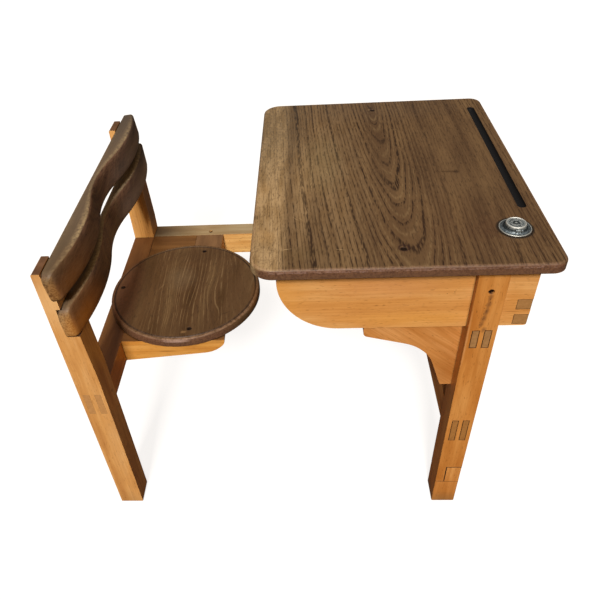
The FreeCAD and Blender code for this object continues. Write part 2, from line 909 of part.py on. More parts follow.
def build():
    pieces["desk_top"] = make_desk_top()
    panel = make_side_panel()
    pieces["side_panel_far"] = panel
    pieces["side_panel_near"] = mirrored(panel)
    pieces["back_rail"] = make_back_rail()
    pieces["shelf_board"] = shelf_solid()
    leg = make_desk_leg()
    side_rail = make_side_rail()
    pieces["desk_leg_far"] = leg.cut(side_rail)
    near_leg = mirrored(leg)
    splice = mirrored(splice_shape())
    pieces["leg_foot_near"] = near_leg.common(splice)
    pieces["desk_leg_near"] = near_leg.cut(splice)
    pieces["upper_cross_rail"] = make_leg_rail(panel_bottom - upper_rail_height, panel_bottom)
    pieces["lower_stretcher"] = make_leg_rail(stretcher_lift, stretcher_lift + stretcher_height)
    bracket = make_bracket()
    pieces["bracket_far"] = bracket.cut(box(-reach, reach, 0, reach, 0, frame_height))
    pieces["bracket_near"] = mirrored(bracket)
    post = make_post()
    pieces["chair_post_far"] = post.cut(side_rail)
    pieces["chair_post_near"] = mirrored(post)
    pieces["back_slat_upper"] = make_slat(upper_slat_height, upper_slat_rear_radius,
                                          upper_slat_top_corner, upper_slat_frame())
    pieces["back_slat_lower"] = make_slat(lower_slat_height, lower_slat_rear_radius,
                                          lower_slat_top_corner, lower_slat_frame())
    pieces["seat_rail"] = make_seat_rail().cut(arm_tenon())
    pieces["side_rail"] = side_rail.cut(front_rail_far_tenon())
    pieces["seat_front_rail"] = make_front_rail()
    pieces["seat_arm_near"] = make_arm()
    pieces["seat_side_board"] = make_side_board()
    pieces["seat_disc"] = make_seat()
    set_screws()
    set_pegs()
    pieces["inkwell_flange"] = make_flange()
    pieces["inkwell_pot"] = make_pot()
    pieces["inkwell_lid"] = make_lid()
    pieces["inkwell_hinge_pin"] = make_hinge_pin()


build()
os.makedirs("parts", exist_ok=True)
for name, shape in pieces.items():
    shape.translate(Vector(0, -(y_low + y_high) / 2, 0))
    shape.exportStep("parts/" + name + ".step")
    print(name, len(shape.Solids), "solid(s)", "valid" if shape.isValid() else "INVALID")
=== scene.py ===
import math
import random
from functools import partial

import bmesh
import bpy
from mathutils import Matrix, Vector, noise


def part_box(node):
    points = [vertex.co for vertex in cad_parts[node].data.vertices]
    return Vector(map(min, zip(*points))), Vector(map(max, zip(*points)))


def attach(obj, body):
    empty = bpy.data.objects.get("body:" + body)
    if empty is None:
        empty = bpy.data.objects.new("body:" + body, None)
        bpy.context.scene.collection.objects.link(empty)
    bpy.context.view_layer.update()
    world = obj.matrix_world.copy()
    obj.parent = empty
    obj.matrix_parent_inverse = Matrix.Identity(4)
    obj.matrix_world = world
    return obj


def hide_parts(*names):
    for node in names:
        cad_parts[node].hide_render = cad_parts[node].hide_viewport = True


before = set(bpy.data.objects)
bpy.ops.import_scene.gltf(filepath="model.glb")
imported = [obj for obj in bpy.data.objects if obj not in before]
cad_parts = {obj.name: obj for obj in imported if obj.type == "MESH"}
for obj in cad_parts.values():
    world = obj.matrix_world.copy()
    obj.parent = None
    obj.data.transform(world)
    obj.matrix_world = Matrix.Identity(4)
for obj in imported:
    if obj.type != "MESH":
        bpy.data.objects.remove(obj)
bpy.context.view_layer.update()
mm = 0.001
print("frame loaded:", len(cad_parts), "solids")


# Colours and nodes

def linear(hexCode):  # sRGB hex to the linear values that the shader reads
    channels = [int(hexCode[k:k + 2], 16) / 255 for k in (1, 3, 5)]
    return [c / 12.92 if c <= 0.04045 else ((c + 0.055) / 1.055) ** 2.4 for c in channels] + [1]


def addNode(tree, kind, settings):  # one node: each setting is a value, or the node or socket that feeds it
    node = tree.nodes.new("ShaderNode" + kind)
    for key, value in settings.items():
        if key == "stops":
            ramp = node.color_ramp.elements
            while len(ramp) < len(value):
                ramp.new(0.5)
            for stop, (place, colour) in zip(ramp, value):
                stop.position = place
                stop.color = linear(colour) if isinstance(colour, str) else (colour, colour, colour, 1)
        elif isinstance(value, bpy.types.Node):
            tree.links.new(next(s for s in value.outputs if s.enabled), node.inputs[key])
        elif isinstance(value, bpy.types.NodeSocket):
            tree.links.new(value, node.inputs[key])
        elif isinstance(key, int) or key in node.inputs:
            node.inputs[key].default_value = linear(value) if isinstance(value, str) else value
        else:
            setattr(node, key, value)
    return node


def startNodes(owner):  # clears the nodes of a material or a world, and gives addNode for its tree
    owner.use_nodes = True
    owner.node_tree.nodes.clear()
    return partial(addNode, owner.node_tree)


def radians(angles):
    return [math.radians(a) for a in angles]


def stretched(lengthMm, widthMm):  # the scale that draws a pattern out along the grain
    return 1 / lengthMm, 1 / widthMm, 1 / widthMm


def mark(at, half, share, colour=None, **more):  # a stain, crack, worn patch or zone, by its half size in mm
    return {"at": at, "half": half, "share": share, "colour": colour, **more}


colourMix, product = {"data_type": "RGBA"}, {"operation": "MULTIPLY"}

# Old beech, planed and varnished: honey colour with long darker streaks, short dark flecks
# a few millimetres long, grey-brown end grain on the tenons, and bare brown wood on every
# face that looks up, where the varnish has gone and dirt has settled. Its fibres are about
# 0.1 mm wide, too fine to show, so they are drawn 1.3 mm wide.

beech = dict(
    light="#e8ab62", mid="#da9545", dark="#bb7530", streak="#a9641f", fleck="#7d4412", end="#b98a58",
    endDark="#94673c", arris="#a66c33", grimeAndShade="#2a1608", hollow="#2a1608", up="#7a5230", upDark="#4e3118",
    ringMm=6, streakMm=7, streakLengthMm=240, fleckMm=1.6, fleckLengthMm=11, fibreMm=1.3,
    fibreLengthMm=45, upShare=0.92, streaks=0.3, flecks=0.5, thread=0.26, wear=0.45, roughness=0.46,
    lightFrom=0.7, threadFrom=0.72, spots=())

# Dark oak, stained and waxed, worn by use: open pores in lines drawn out along the grain,
# cathedral rings where the board cuts them flat, and paler, mottled wood where the wax has gone.
# Its pores are about 0.3 mm wide, too fine to show, so they are drawn up to 2 mm wide.

# Its pale pinkish-grey arris tone is wear and a painted highlight on the rounded edges.
oak = dict(
    light="#725a3d", mid="#634c33", dark="#553f29", line="#2a190b", pale="#a38c66", pore="#26170b",
    end="#74523b", endDark="#56392a", arris="#987662", grimeAndShade="#120a05", hollow="#120a05",
    bare="#b99f78", bareDark="#987e58", mottle="#5d4220", ringMm=7, poreMm=2.1, poreLengthMm=13,
    fibreMm=1.5, fibreLengthMm=40, dashMm=30, dashWidthMm=2.6, roughness=0.5, lightFrom=0.72,
    threadFrom=0.7, spots=(), calmZones=(), bareZones=())

# What both woods share: the finish that gives their sheen, and the sizes of their slow waves,
# broad tones, worn clouds, mottles, crumbs and grit

varnish = {"IOR": 1.5, "Specular IOR Level": 0.35, "Coat Weight": 0.12, "Coat Roughness": 0.3}
wax = {"IOR": 1.5, "Specular IOR Level": 0.32, "Coat Weight": 0.03, "Coat Roughness": 0.35}
figure = dict(swayMm=(240, 60), toneMm=(210, 36), unevenYears=1.4, crumbMm=7.143, gritMm=3.03,
              cloudMm=(60, 12), mottleMm=(6, 3.2), cornerReachMm=5, reliefMm=0.5)


def woodPattern(add, look):  # where a point is in the wood, and its rings, fibres and wear from 0 to 1
    turn = radians(look["turn"])
    place = add("TexCoord", {})
    point = add("Mapping", {"Vector": place.outputs["Object"], "Rotation": turn, "Location": look["shift"],
                            "Scale": (1 / mm,) * 3})  # millimetres, with x along the grain
    facing = add("Mapping", {"Vector": place.outputs["Normal"], "Rotation": turn})
    slow = add("Mapping", {"Vector": point, "Scale": stretched(*figure["swayMm"])})
    sway = add("TexNoise", {"Vector": slow, "Scale": 1, "Detail": 2})
    bent = add("VectorMath", {"operation": "MULTIPLY_ADD", 0: sway.outputs["Color"],
                              1: (0, look["swayMm"], look["swayMm"]), 2: point})
    pith = add("Mapping", {"Vector": bent, "Rotation": radians(look["pithTilt"]), "Location": look["pith"]})
    across = add("VectorMath", {"operation": "MULTIPLY", 0: pith, 1: (0, 1, 1)})
    radius = add("VectorMath", {"operation": "LENGTH", 0: across}).outputs["Value"]
    count = add("Math", {**product, 0: radius, 1: 1 / (look["ringMm"] * look["ringScale"])})
    uneven = add("TexNoise", {"noise_dimensions": "1D", "W": count, "Scale": 0.6, "Detail": 1})
    shifted = add("Math", {"operation": "MULTIPLY_ADD", 0: uneven, 1: figure["unevenYears"], 2: count})
    fine = add("Mapping", {"Vector": bent, "Scale": stretched(look["fibreLengthMm"], look["fibreMm"])})
    broad = add("Mapping", {"Vector": point, "Scale": stretched(*figure["toneMm"])})
    along = add("Math", {"operation": "ABSOLUTE", 0: add("SeparateXYZ", {"Vector": facing})})
    level = add("SeparateXYZ", {"Vector": place.outputs["Normal"]}).outputs["Z"]
    crumb = add("TexNoise", {"Vector": point, "Scale": 1 / figure["crumbMm"], "Detail": 4,
                             "Roughness": 0.65})
    ragged = add("VectorMath", {"operation": "MULTIPLY_ADD", 0: crumb.outputs["Color"],
                                1: (look["raggedMm"] * mm,) * 3, 2: place.outputs["Object"]})
    arris, hollow = (add("Attribute", {"attribute_name": n}).outputs["Fac"] for n in ("arris", "hollow"))
    return {
        "place": place.outputs["Object"], "point": point, "bent": bent, "crumb": crumb, "ragged": ragged,
        "arris": arris, "hollow": hollow,
        "year": add("Math", {"operation": "FRACT", 0: shifted}),
        "fibre": add("TexNoise", {"Vector": fine, "Scale": 0.5, "Detail": 3, "Roughness": 0.6}),
        "tone": add("TexNoise", {"Vector": broad, "Scale": 1, "Detail": 3, "Roughness": 0.55}),
        "cutAcross": add("MapRange", {"Value": along, "From Min": 0.6, "From Max": 0.85}),
        "up": add("MapRange", {"Value": level, "From Min": 0.72, "From Max": 0.93})}


def spotShare(add, pattern, spot):  # one ragged ellipse: how much of it lies at each point
    local = add("Mapping", {
        "vector_type": "TEXTURE", "Vector": pattern["place" if spot.get("crisp") else "ragged"],
        "Location": [v * mm for v in spot["at"]], "Rotation": radians(spot.get("turn", (0, 0, 0))),
        "Scale": [v * mm for v in spot["half"]]})
    reach = add("VectorMath", {"operation": "LENGTH", 0: local}).outputs["Value"]
    if "ring" in spot:  # only the outline, as wide as ring times the half size
        off = add("Math", {"operation": "SUBTRACT", 0: reach, 1: 1})
        reach = add("Math", {"operation": "ABSOLUTE", 0: off})
    low, high = (0, spot["ring"]) if "ring" in spot else (1 - spot.get("soft", 0.5), 1)
    return add("MapRange", {"Value": reach, "From Min": low, "From Max": high, "To Min": spot["share"],
                            "To Max": 0})


def zoneShare(add, pattern, zones):  # the largest share that any of the zones has at a point
    share = 0
    for zone in zones:
        share = add("Math", {"operation": "MAXIMUM", 0: share, 1: spotShare(add, pattern, zone)})
    return share


def speckle(add, pattern, lengthMm, widthMm, low, high, share=1):  # spots drawn out along the grain
    drawn = add("Mapping", {"Vector": pattern["bent"], "Scale": stretched(lengthMm, widthMm)})
    spots = add("TexNoise", {"Vector": drawn, "Scale": 1, "Detail": 1.5})
    return add("MapRange", {"Value": spots, "From Min": low, "From Max": high, "To Max": share})


def finishWood(add, look, pattern, colour, layers, height, skin):  # adds wear (on the oak also a painted highlight), marks, painted shade and grime in corners and hollows, gloss and relief
    rub = add("MapRange", {"Value": pattern["crumb"], "From Min": 0.35, "From Max": 0.62,
                           "To Max": look["wear"]})
    # the rubbed arris tone: wear, and with the oak's pale arris tone also a painted highlight
    worn = add("Math", {**product, 0: pattern["arris"], 1: rub})
    spots = [(spotShare(add, pattern, spot), spot["colour"]) for spot in look["spots"]]
    # ambient occlusion darkens the colour in corners and seams: painted shade, standing also for grime
    corner = add("AmbientOcclusion", {"samples": 6, "Distance": figure["cornerReachMm"] * mm}).outputs["AO"]
    cornerShadeAndGrime = add("MapRange", {"Value": corner, "From Min": 0.78, "From Max": 0.3, "To Max": 0.85})
    layers += [(worn, look["arris"]), *spots, (cornerShadeAndGrime, look["grimeAndShade"]), (pattern["hollow"], look["hollow"])]
    for share, tone in layers:
        colour = add("Mix", {**colourMix, 0: share, 6: colour, 7: tone})
    gloss = add("MapRange", {"Value": pattern["fibre"], "To Min": look["roughness"] - 0.08,
                             "To Max": look["roughness"] + 0.16})
    gloss = add("Math", {"operation": "MULTIPLY_ADD", 0: pattern["hollow"], 1: 0.35, 2: gloss})
    bump = add("Bump", {"Strength": 0.35, "Distance": figure["reliefMm"] * mm, "Height": height})
    shader = add("BsdfPrincipled", {**skin, "Base Color": colour, "Roughness": gloss, "Normal": bump})
    add("OutputMaterial", {"Surface": shader})


def startWood(name, look):  # the material, its pattern, its ground colour and the share of its fine threads
    material = bpy.data.materials.new(name)
    add = startNodes(material)
    pattern = woodPattern(add, look)
    colour = add("ValToRGB", {"Fac": pattern["tone"], "stops": [
        (0.3, look["dark"]), (0.5, look["mid"]), (look["lightFrom"], look["light"])]})
    thread = add("MapRange", {"Value": pattern["fibre"], "From Min": 0.42, "From Max": look["threadFrom"],
                              "To Max": look["thread"]})
    return material, add, pattern, colour, thread


def makeBeech(name, look):
    look = {**beech, **look}
    material, add, pattern, colour, thread = startWood(name, look)
    ring = add("ValToRGB", {"Fac": pattern["year"], "stops": [
        (0, 0.2), (0.15, 0.06), (0.6, 0), (0.92, 0.12), (1, 0.2)]})
    streak = speckle(add, pattern, look["streakLengthMm"], look["streakMm"], 0.45, 0.7, look["streaks"])
    fleck = speckle(add, pattern, look["fleckLengthMm"], look["fleckMm"], 0.62, 0.74, look["flecks"])
    endTone = add("Mix", {**colourMix, 0: pattern["crumb"], 6: look["endDark"], 7: look["end"]})
    upTone = add("ValToRGB", {"Fac": pattern["tone"], "stops": [(0.35, look["upDark"]), (0.65, look["up"])]})
    upTone = add("Mix", {**colourMix, 0: thread, 6: upTone, 7: look["upDark"]})
    upShare = add("Math", {**product, 0: pattern["up"], 1: look["upShare"]})
    layers = [(share, look["streak"]) for share in (ring, streak, thread)]
    layers += [(fleck, look["fleck"]), (pattern["cutAcross"], endTone), (upShare, upTone)]
    finishWood(add, look, pattern, colour, layers, pattern["fibre"], varnish)
    return material


def makeOak(name, look):
    look = {**oak, **look}
    material, add, pattern, colour, thread = startWood(name, look)
    early, late = (add("ValToRGB", {"Fac": pattern["year"], "stops": stops}) for stops in (
        [(0, 1), (0.1, 0.95), (0.2, 0.1), (0.94, 0), (1, 1)],
        [(0, 0), (0.42, 0), (0.56, 1), (0.72, 0), (1, 0)]))
    calm = zoneShare(add, pattern, look["calmZones"])  # places where the year lines hardly show
    broken = speckle(add, pattern, look["dashMm"], look["dashWidthMm"], 0.36, 0.54)
    broken = add("Math", {**product, 0: broken, 1: add("Math", {"operation": "SUBTRACT", 0: 1, 1: calm})})
    layers = []
    if look["bareZones"]:  # sapwood with the wax worn off: pale, mottled, nearly without lines
        bare = zoneShare(add, pattern, look["bareZones"])
        cloud = speckle(add, pattern, *figure["cloudMm"], 0.36, 0.62)
        bareTone = add("Mix", {**colourMix, 0: cloud, 6: look["bareDark"], 7: look["bare"]})
        mottle = speckle(add, pattern, *figure["mottleMm"], 0.55, 0.64, 0.32)
        mottle = add("Math", {**product, 0: mottle, 1: bare})
        layers += [(bare, bareTone), (mottle, look["mottle"])]
        keep = add("MapRange", {"Value": bare, "To Min": 1, "To Max": 0.2})
        broken = add("Math", {**product, 0: broken, 1: keep})
    for mask, share, tone in ((late, look["paleLines"], look["pale"]),
                              (early, look["darkLines"], look["line"])):
        line = add("Math", {**product, 0: mask, 1: broken})
        layers.append((add("Math", {**product, 0: line, 1: share}), tone))
    pore = speckle(add, pattern, look["poreLengthMm"], look["poreMm"], 0.57, 0.7)
    poreShare = add("Math", {**product, 0: pore, 1: look["pores"]})
    grit = add("TexNoise", {"Vector": pattern["point"], "Scale": 1 / figure["gritMm"], "Detail": 3,
                            "Roughness": 0.7})
    grit = add("MapRange", {"Value": grit, "From Min": 0.38, "From Max": 0.58})
    endTone = add("Mix", {**colourMix, 0: grit, 6: look["endDark"], 7: look["end"]})
    layers += [(thread, look["line"]), (poreShare, look["pore"]), (pattern["cutAcross"], endTone)]
    if "up" in look:
        upTone = add("Mix", {**colourMix, 0: pattern["tone"], 6: look["upDark"], 7: look["up"]})
        layers.append((add("Math", {**product, 0: pattern["up"], 1: look["upShare"]}), upTone))
    height = add("Math", {"operation": "SUBTRACT", 0: pattern["fibre"], 1: pore})
    finishWood(add, look, pattern, colour, layers, height, wax)
    return material


# Meshes, from sizes in millimetres

def addObject(name, data):
    added = bpy.data.objects.new(name, data)
    bpy.context.scene.collection.objects.link(added)
    return added


def toObject(node, finish, mesh, body, material):  # the piece that stands for a node
    piece = addObject(f"{node}_{finish}", mesh)
    mesh.materials.append(material)
    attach(piece, body)
    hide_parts(node)
    return piece


def toMesh(bm, name):
    mesh = bpy.data.meshes.new(name)
    bm.to_mesh(mesh)
    bm.free()
    return mesh


def weld(bm, gapMm=0.001):
    bmesh.ops.remove_doubles(bm, verts=bm.verts, dist=gapMm * mm)


def faceOut(bm):
    bmesh.ops.recalc_face_normals(bm, faces=bm.faces)


def smoothMesh(mesh, degrees):  # smooth, with an edge kept sharp where it turns by more than this
    for polygon in mesh.polygons:
        polygon.use_smooth = True
    mesh.set_sharp_from_angle(angle=math.radians(degrees))


eased = dict(joinMm=0.01, flatDegrees=0.5, sharpDegrees=28, shortestMm=1.2, reachMm=1, seamDirt=0.85)


def softened(node, edgeMm, neighbours=()):  # the solid's own mesh, its edges eased, with dirt in the seams
    bm = bmesh.new()
    bm.from_mesh(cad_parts[node].data)
    bm.faces.layers.float.new("arris")
    bm.faces.layers.float.new("hollow")
    worn, seam = (bm.faces.layers.float[name] for name in ("arris", "hollow"))
    boxes = [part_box(other) for other in neighbours if other != node]
    weld(bm, eased["joinMm"])
    flat = math.radians(eased["flatDegrees"])
    bmesh.ops.dissolve_limit(bm, angle_limit=flat, verts=bm.verts, edges=bm.edges)
    sharp = [e for e in bm.edges if len(e.link_faces) == 2 and e.calc_length() > eased["shortestMm"] * mm
             and e.calc_face_angle() > math.radians(eased["sharpDegrees"])]
    made = bmesh.ops.bevel(bm, geom=sharp, offset=edgeMm * mm, offset_type="OFFSET", segments=2,
                           profile=0.5, affect="EDGES", clamp_overlap=True)
    near = eased["reachMm"] * mm
    for face in made["faces"]:
        middle = face.calc_center_median()
        meets = any(all(low[k] - near < middle[k] < high[k] + near for k in range(3)) for low, high in boxes)
        face[seam if meets else worn] = eased["seamDirt"] if meets else 1
    mesh = toMesh(bm, node)
    smoothMesh(mesh, 50)
    return mesh


def weighNormals(piece):  # flat faces keep their light right up to the eased edges
    modifier = piece.modifiers.new("evenLight", "WEIGHTED_NORMAL")
    modifier.keep_sharp = True


def loft(bm, rings, centre=(0, 0, 0)):  # quads between closed rings of equal length, and a face on each end
    base = Vector(centre) * mm
    loops = [[bm.verts.new(base + Vector(p) * mm) for p in ring] for ring in rings]
    for low, high in zip(loops, loops[1:]):
        for k in range(len(low)):
            n = (k + 1) % len(low)
            bm.faces.new((low[k], low[n], high[n], high[k]))
    bm.faces.new(reversed(loops[0]))
    bm.faces.new(loops[-1])


def ringsToMesh(name, rings):
    bm = bmesh.new()
    loft(bm, rings)
    faceOut(bm)
    return toMesh(bm, name)


def turned(bm, profile, centre, steps, relief=None):  # (radius, height) points, turned about an upright axis
    base, columns = Vector(centre) * mm, []
    for radius, height in profile:
        angles = [2 * math.pi * k / steps for k in range(steps)] if radius > 1e-6 else [0]
        column = []
        for a in angles:
            r, z = relief(radius, height, a) if relief else (radius, height)
            column.append(bm.verts.new(base + Vector((r * math.cos(a), r * math.sin(a), z)) * mm))
        columns.append(column)
    for first, second in zip(columns, columns[1:]):
        for k in range(steps):
            n = (k + 1) % steps
            ends = ((first, k), (first, n), (second, n), (second, k))
            unique = list(dict.fromkeys(column[j % len(column)] for column, j in ends))
            if len(unique) > 2:
                bm.faces.new(unique)
    weld(bm)


def turnProfile(name, profile, centre, steps):
    bm = bmesh.new()
    turned(bm, profile, centre, steps)
    faceOut(bm)
    return toMesh(bm, name)


def arcPoints(centre, radius, start, end, steps):  # points on an arc, angles in degrees
    angles = [math.radians(start + (end - start) * k / steps) for k in range(steps + 1)]
    return [(centre[0] + radius * math.cos(a), centre[1] + radius * math.sin(a)) for a in angles]


def cutAway(piece, cutters):  # takes the cutters out of the piece for good
    for cutter in cutters:
        tool = addObject("cutter", cutter)
        modifier = piece.modifiers.new("cut", "BOOLEAN")
        modifier.object, modifier.operation, modifier.solver = tool, "DIFFERENCE", "EXACT"
        with bpy.context.temp_override(object=piece, active_object=piece):
            bpy.ops.object.modifier_apply(modifier=modifier.name)
        bpy.data.objects.remove(tool)


def sinks(look, face):  # cutters for the countersunk screw holes in a board whose face is at this height
    wide = look["screwRadius"]
    profile = [(0, -4), (2.4, -4), (wide, -1.2), (wide + 0.5, 0.01), (wide + 0.5, 4), (0, 4)]
    return [turnProfile("sink", profile, (x, y, face), 32) for x, y in look["screws"]]


def within(x, y, places, radius):
    return any(math.hypot(x - px, y - py) < radius for px, py in places)


def markPoints(mesh, name, rule):  # a number at each point of the mesh, from its place
    values = mesh.attributes.get(name) or mesh.attributes.new(name, "FLOAT", "POINT")
    for item, vert in zip(values.data, mesh.vertices):
        item.value = rule(*(vert.co / mm))


# Camera, light and floor

camera = dict(place=(0.02718, -1.00822, 1.21479), yaw=-4.4493, down=40.4521, roll=-4.1570, lensMm=35.868,
              sensorMm=36, shift=(0.04305, -0.00613), clip=(0.05, 50))
yaw, down, roll = radians([camera[k] for k in ("yaw", "down", "roll")])
ahead = Vector((math.sin(yaw) * math.cos(down), math.cos(yaw) * math.cos(down), -math.sin(down)))
level = Vector((math.cos(yaw), -math.sin(yaw), 0))
upright = level.cross(ahead)
right = level * math.cos(roll) + upright * math.sin(roll)
above = upright * math.cos(roll) - level * math.sin(roll)
lens = bpy.data.cameras.new("studioCamera")
lens.lens, lens.sensor_width = camera["lensMm"], camera["sensorMm"]
lens.shift_x, lens.shift_y = camera["shift"]
lens.clip_start, lens.clip_end = camera["clip"]
viewer = addObject("studioCamera", lens)
viewer.matrix_world = Matrix([*zip(right, above, -ahead, camera["place"]), (0, 0, 0, 1)])
bpy.context.scene.camera = viewer
bpy.context.scene.view_settings.view_transform = "Standard"

softbox = dict(place=(-1.41, -20, 18.97), aim=(0, 0, 0.45), size=4.5, watts=8400, colour="#fffaf4")
lamp = bpy.data.lights.new("softbox", "AREA")
lamp.size, lamp.energy, lamp.color = softbox["size"], softbox["watts"], linear(softbox["colour"])[:3]
lampObject = addObject("softbox", lamp)
aim = Vector(softbox["aim"]) - Vector(softbox["place"])
lampObject.location, lampObject.rotation_euler = softbox["place"], aim.to_track_quat("-Z", "Y").to_euler()

room = dict(backdrop=1.1, rear=0.55, fill=(0.07, 0.6), fillFrom=0.25, fillColour="#ffd49c",
            mirror=(0.05, 0.75), mirrorFrom=0.55, mirrorColour="#eef3f8")
world = bpy.data.worlds.new("studio")
add = startNodes(world)
ray = add("LightPath", {})
way = add("SeparateXYZ", {"Vector": add("TexCoord", {}).outputs["Generated"]})
rear = add("MapRange", {"Value": way.outputs["Y"], "From Min": 0.35, "From Max": 1, "To Max": room["rear"]})
fill, mirror = (add("MapRange", {
    "Value": way.outputs["Z"], "From Min": room[part + "From"], "From Max": 1, "To Min": room[part][0],
    "To Max": room[part][1]}) for part in ("fill", "mirror"))  # brighter toward the ceiling
soft = add("Background", {"Color": room["fillColour"], "Strength": add("Math", {0: fill, 1: rear})})
glossy = add("Background", {"Color": room["mirrorColour"], "Strength": mirror})
seen = add("Background", {"Color": "#ffffff", "Strength": room["backdrop"]})
lit = add("MixShader", {0: ray.outputs["Is Glossy Ray"], 1: soft, 2: glossy})
add("OutputWorld", {"Surface": add("MixShader", {0: ray.outputs["Is Camera Ray"], 1: lit, 2: seen})})
bpy.context.scene.world = world

paper = dict(colour="#8c8c8c", glow=0.84, halfM=9, dropMm=0.5)  # the glow keeps it white beside the shadows
floorBm = bmesh.new()
bmesh.ops.create_grid(floorBm, x_segments=8, y_segments=8, size=paper["halfM"])
floor = addObject("floor", toMesh(floorBm, "floor"))
floor.location.z = -paper["dropMm"] * mm
paperFloor = bpy.data.materials.new("paperFloor")
add = startNodes(paperFloor)
matt = add("BsdfDiffuse", {"Color": paper["colour"]})
glow = add("Emission", {"Color": "#ffffff", "Strength": paper["glow"]})
add("OutputMaterial", {"Surface": add("AddShader", {0: matt, 1: glow})})
floor.data.materials.append(paperFloor)
floor.visible_diffuse, floor.visible_glossy = False, False
print("camera, light and floor ready")


# Beech frame: each piece of the solid model with eased edges, its own cut of wood and its own marks

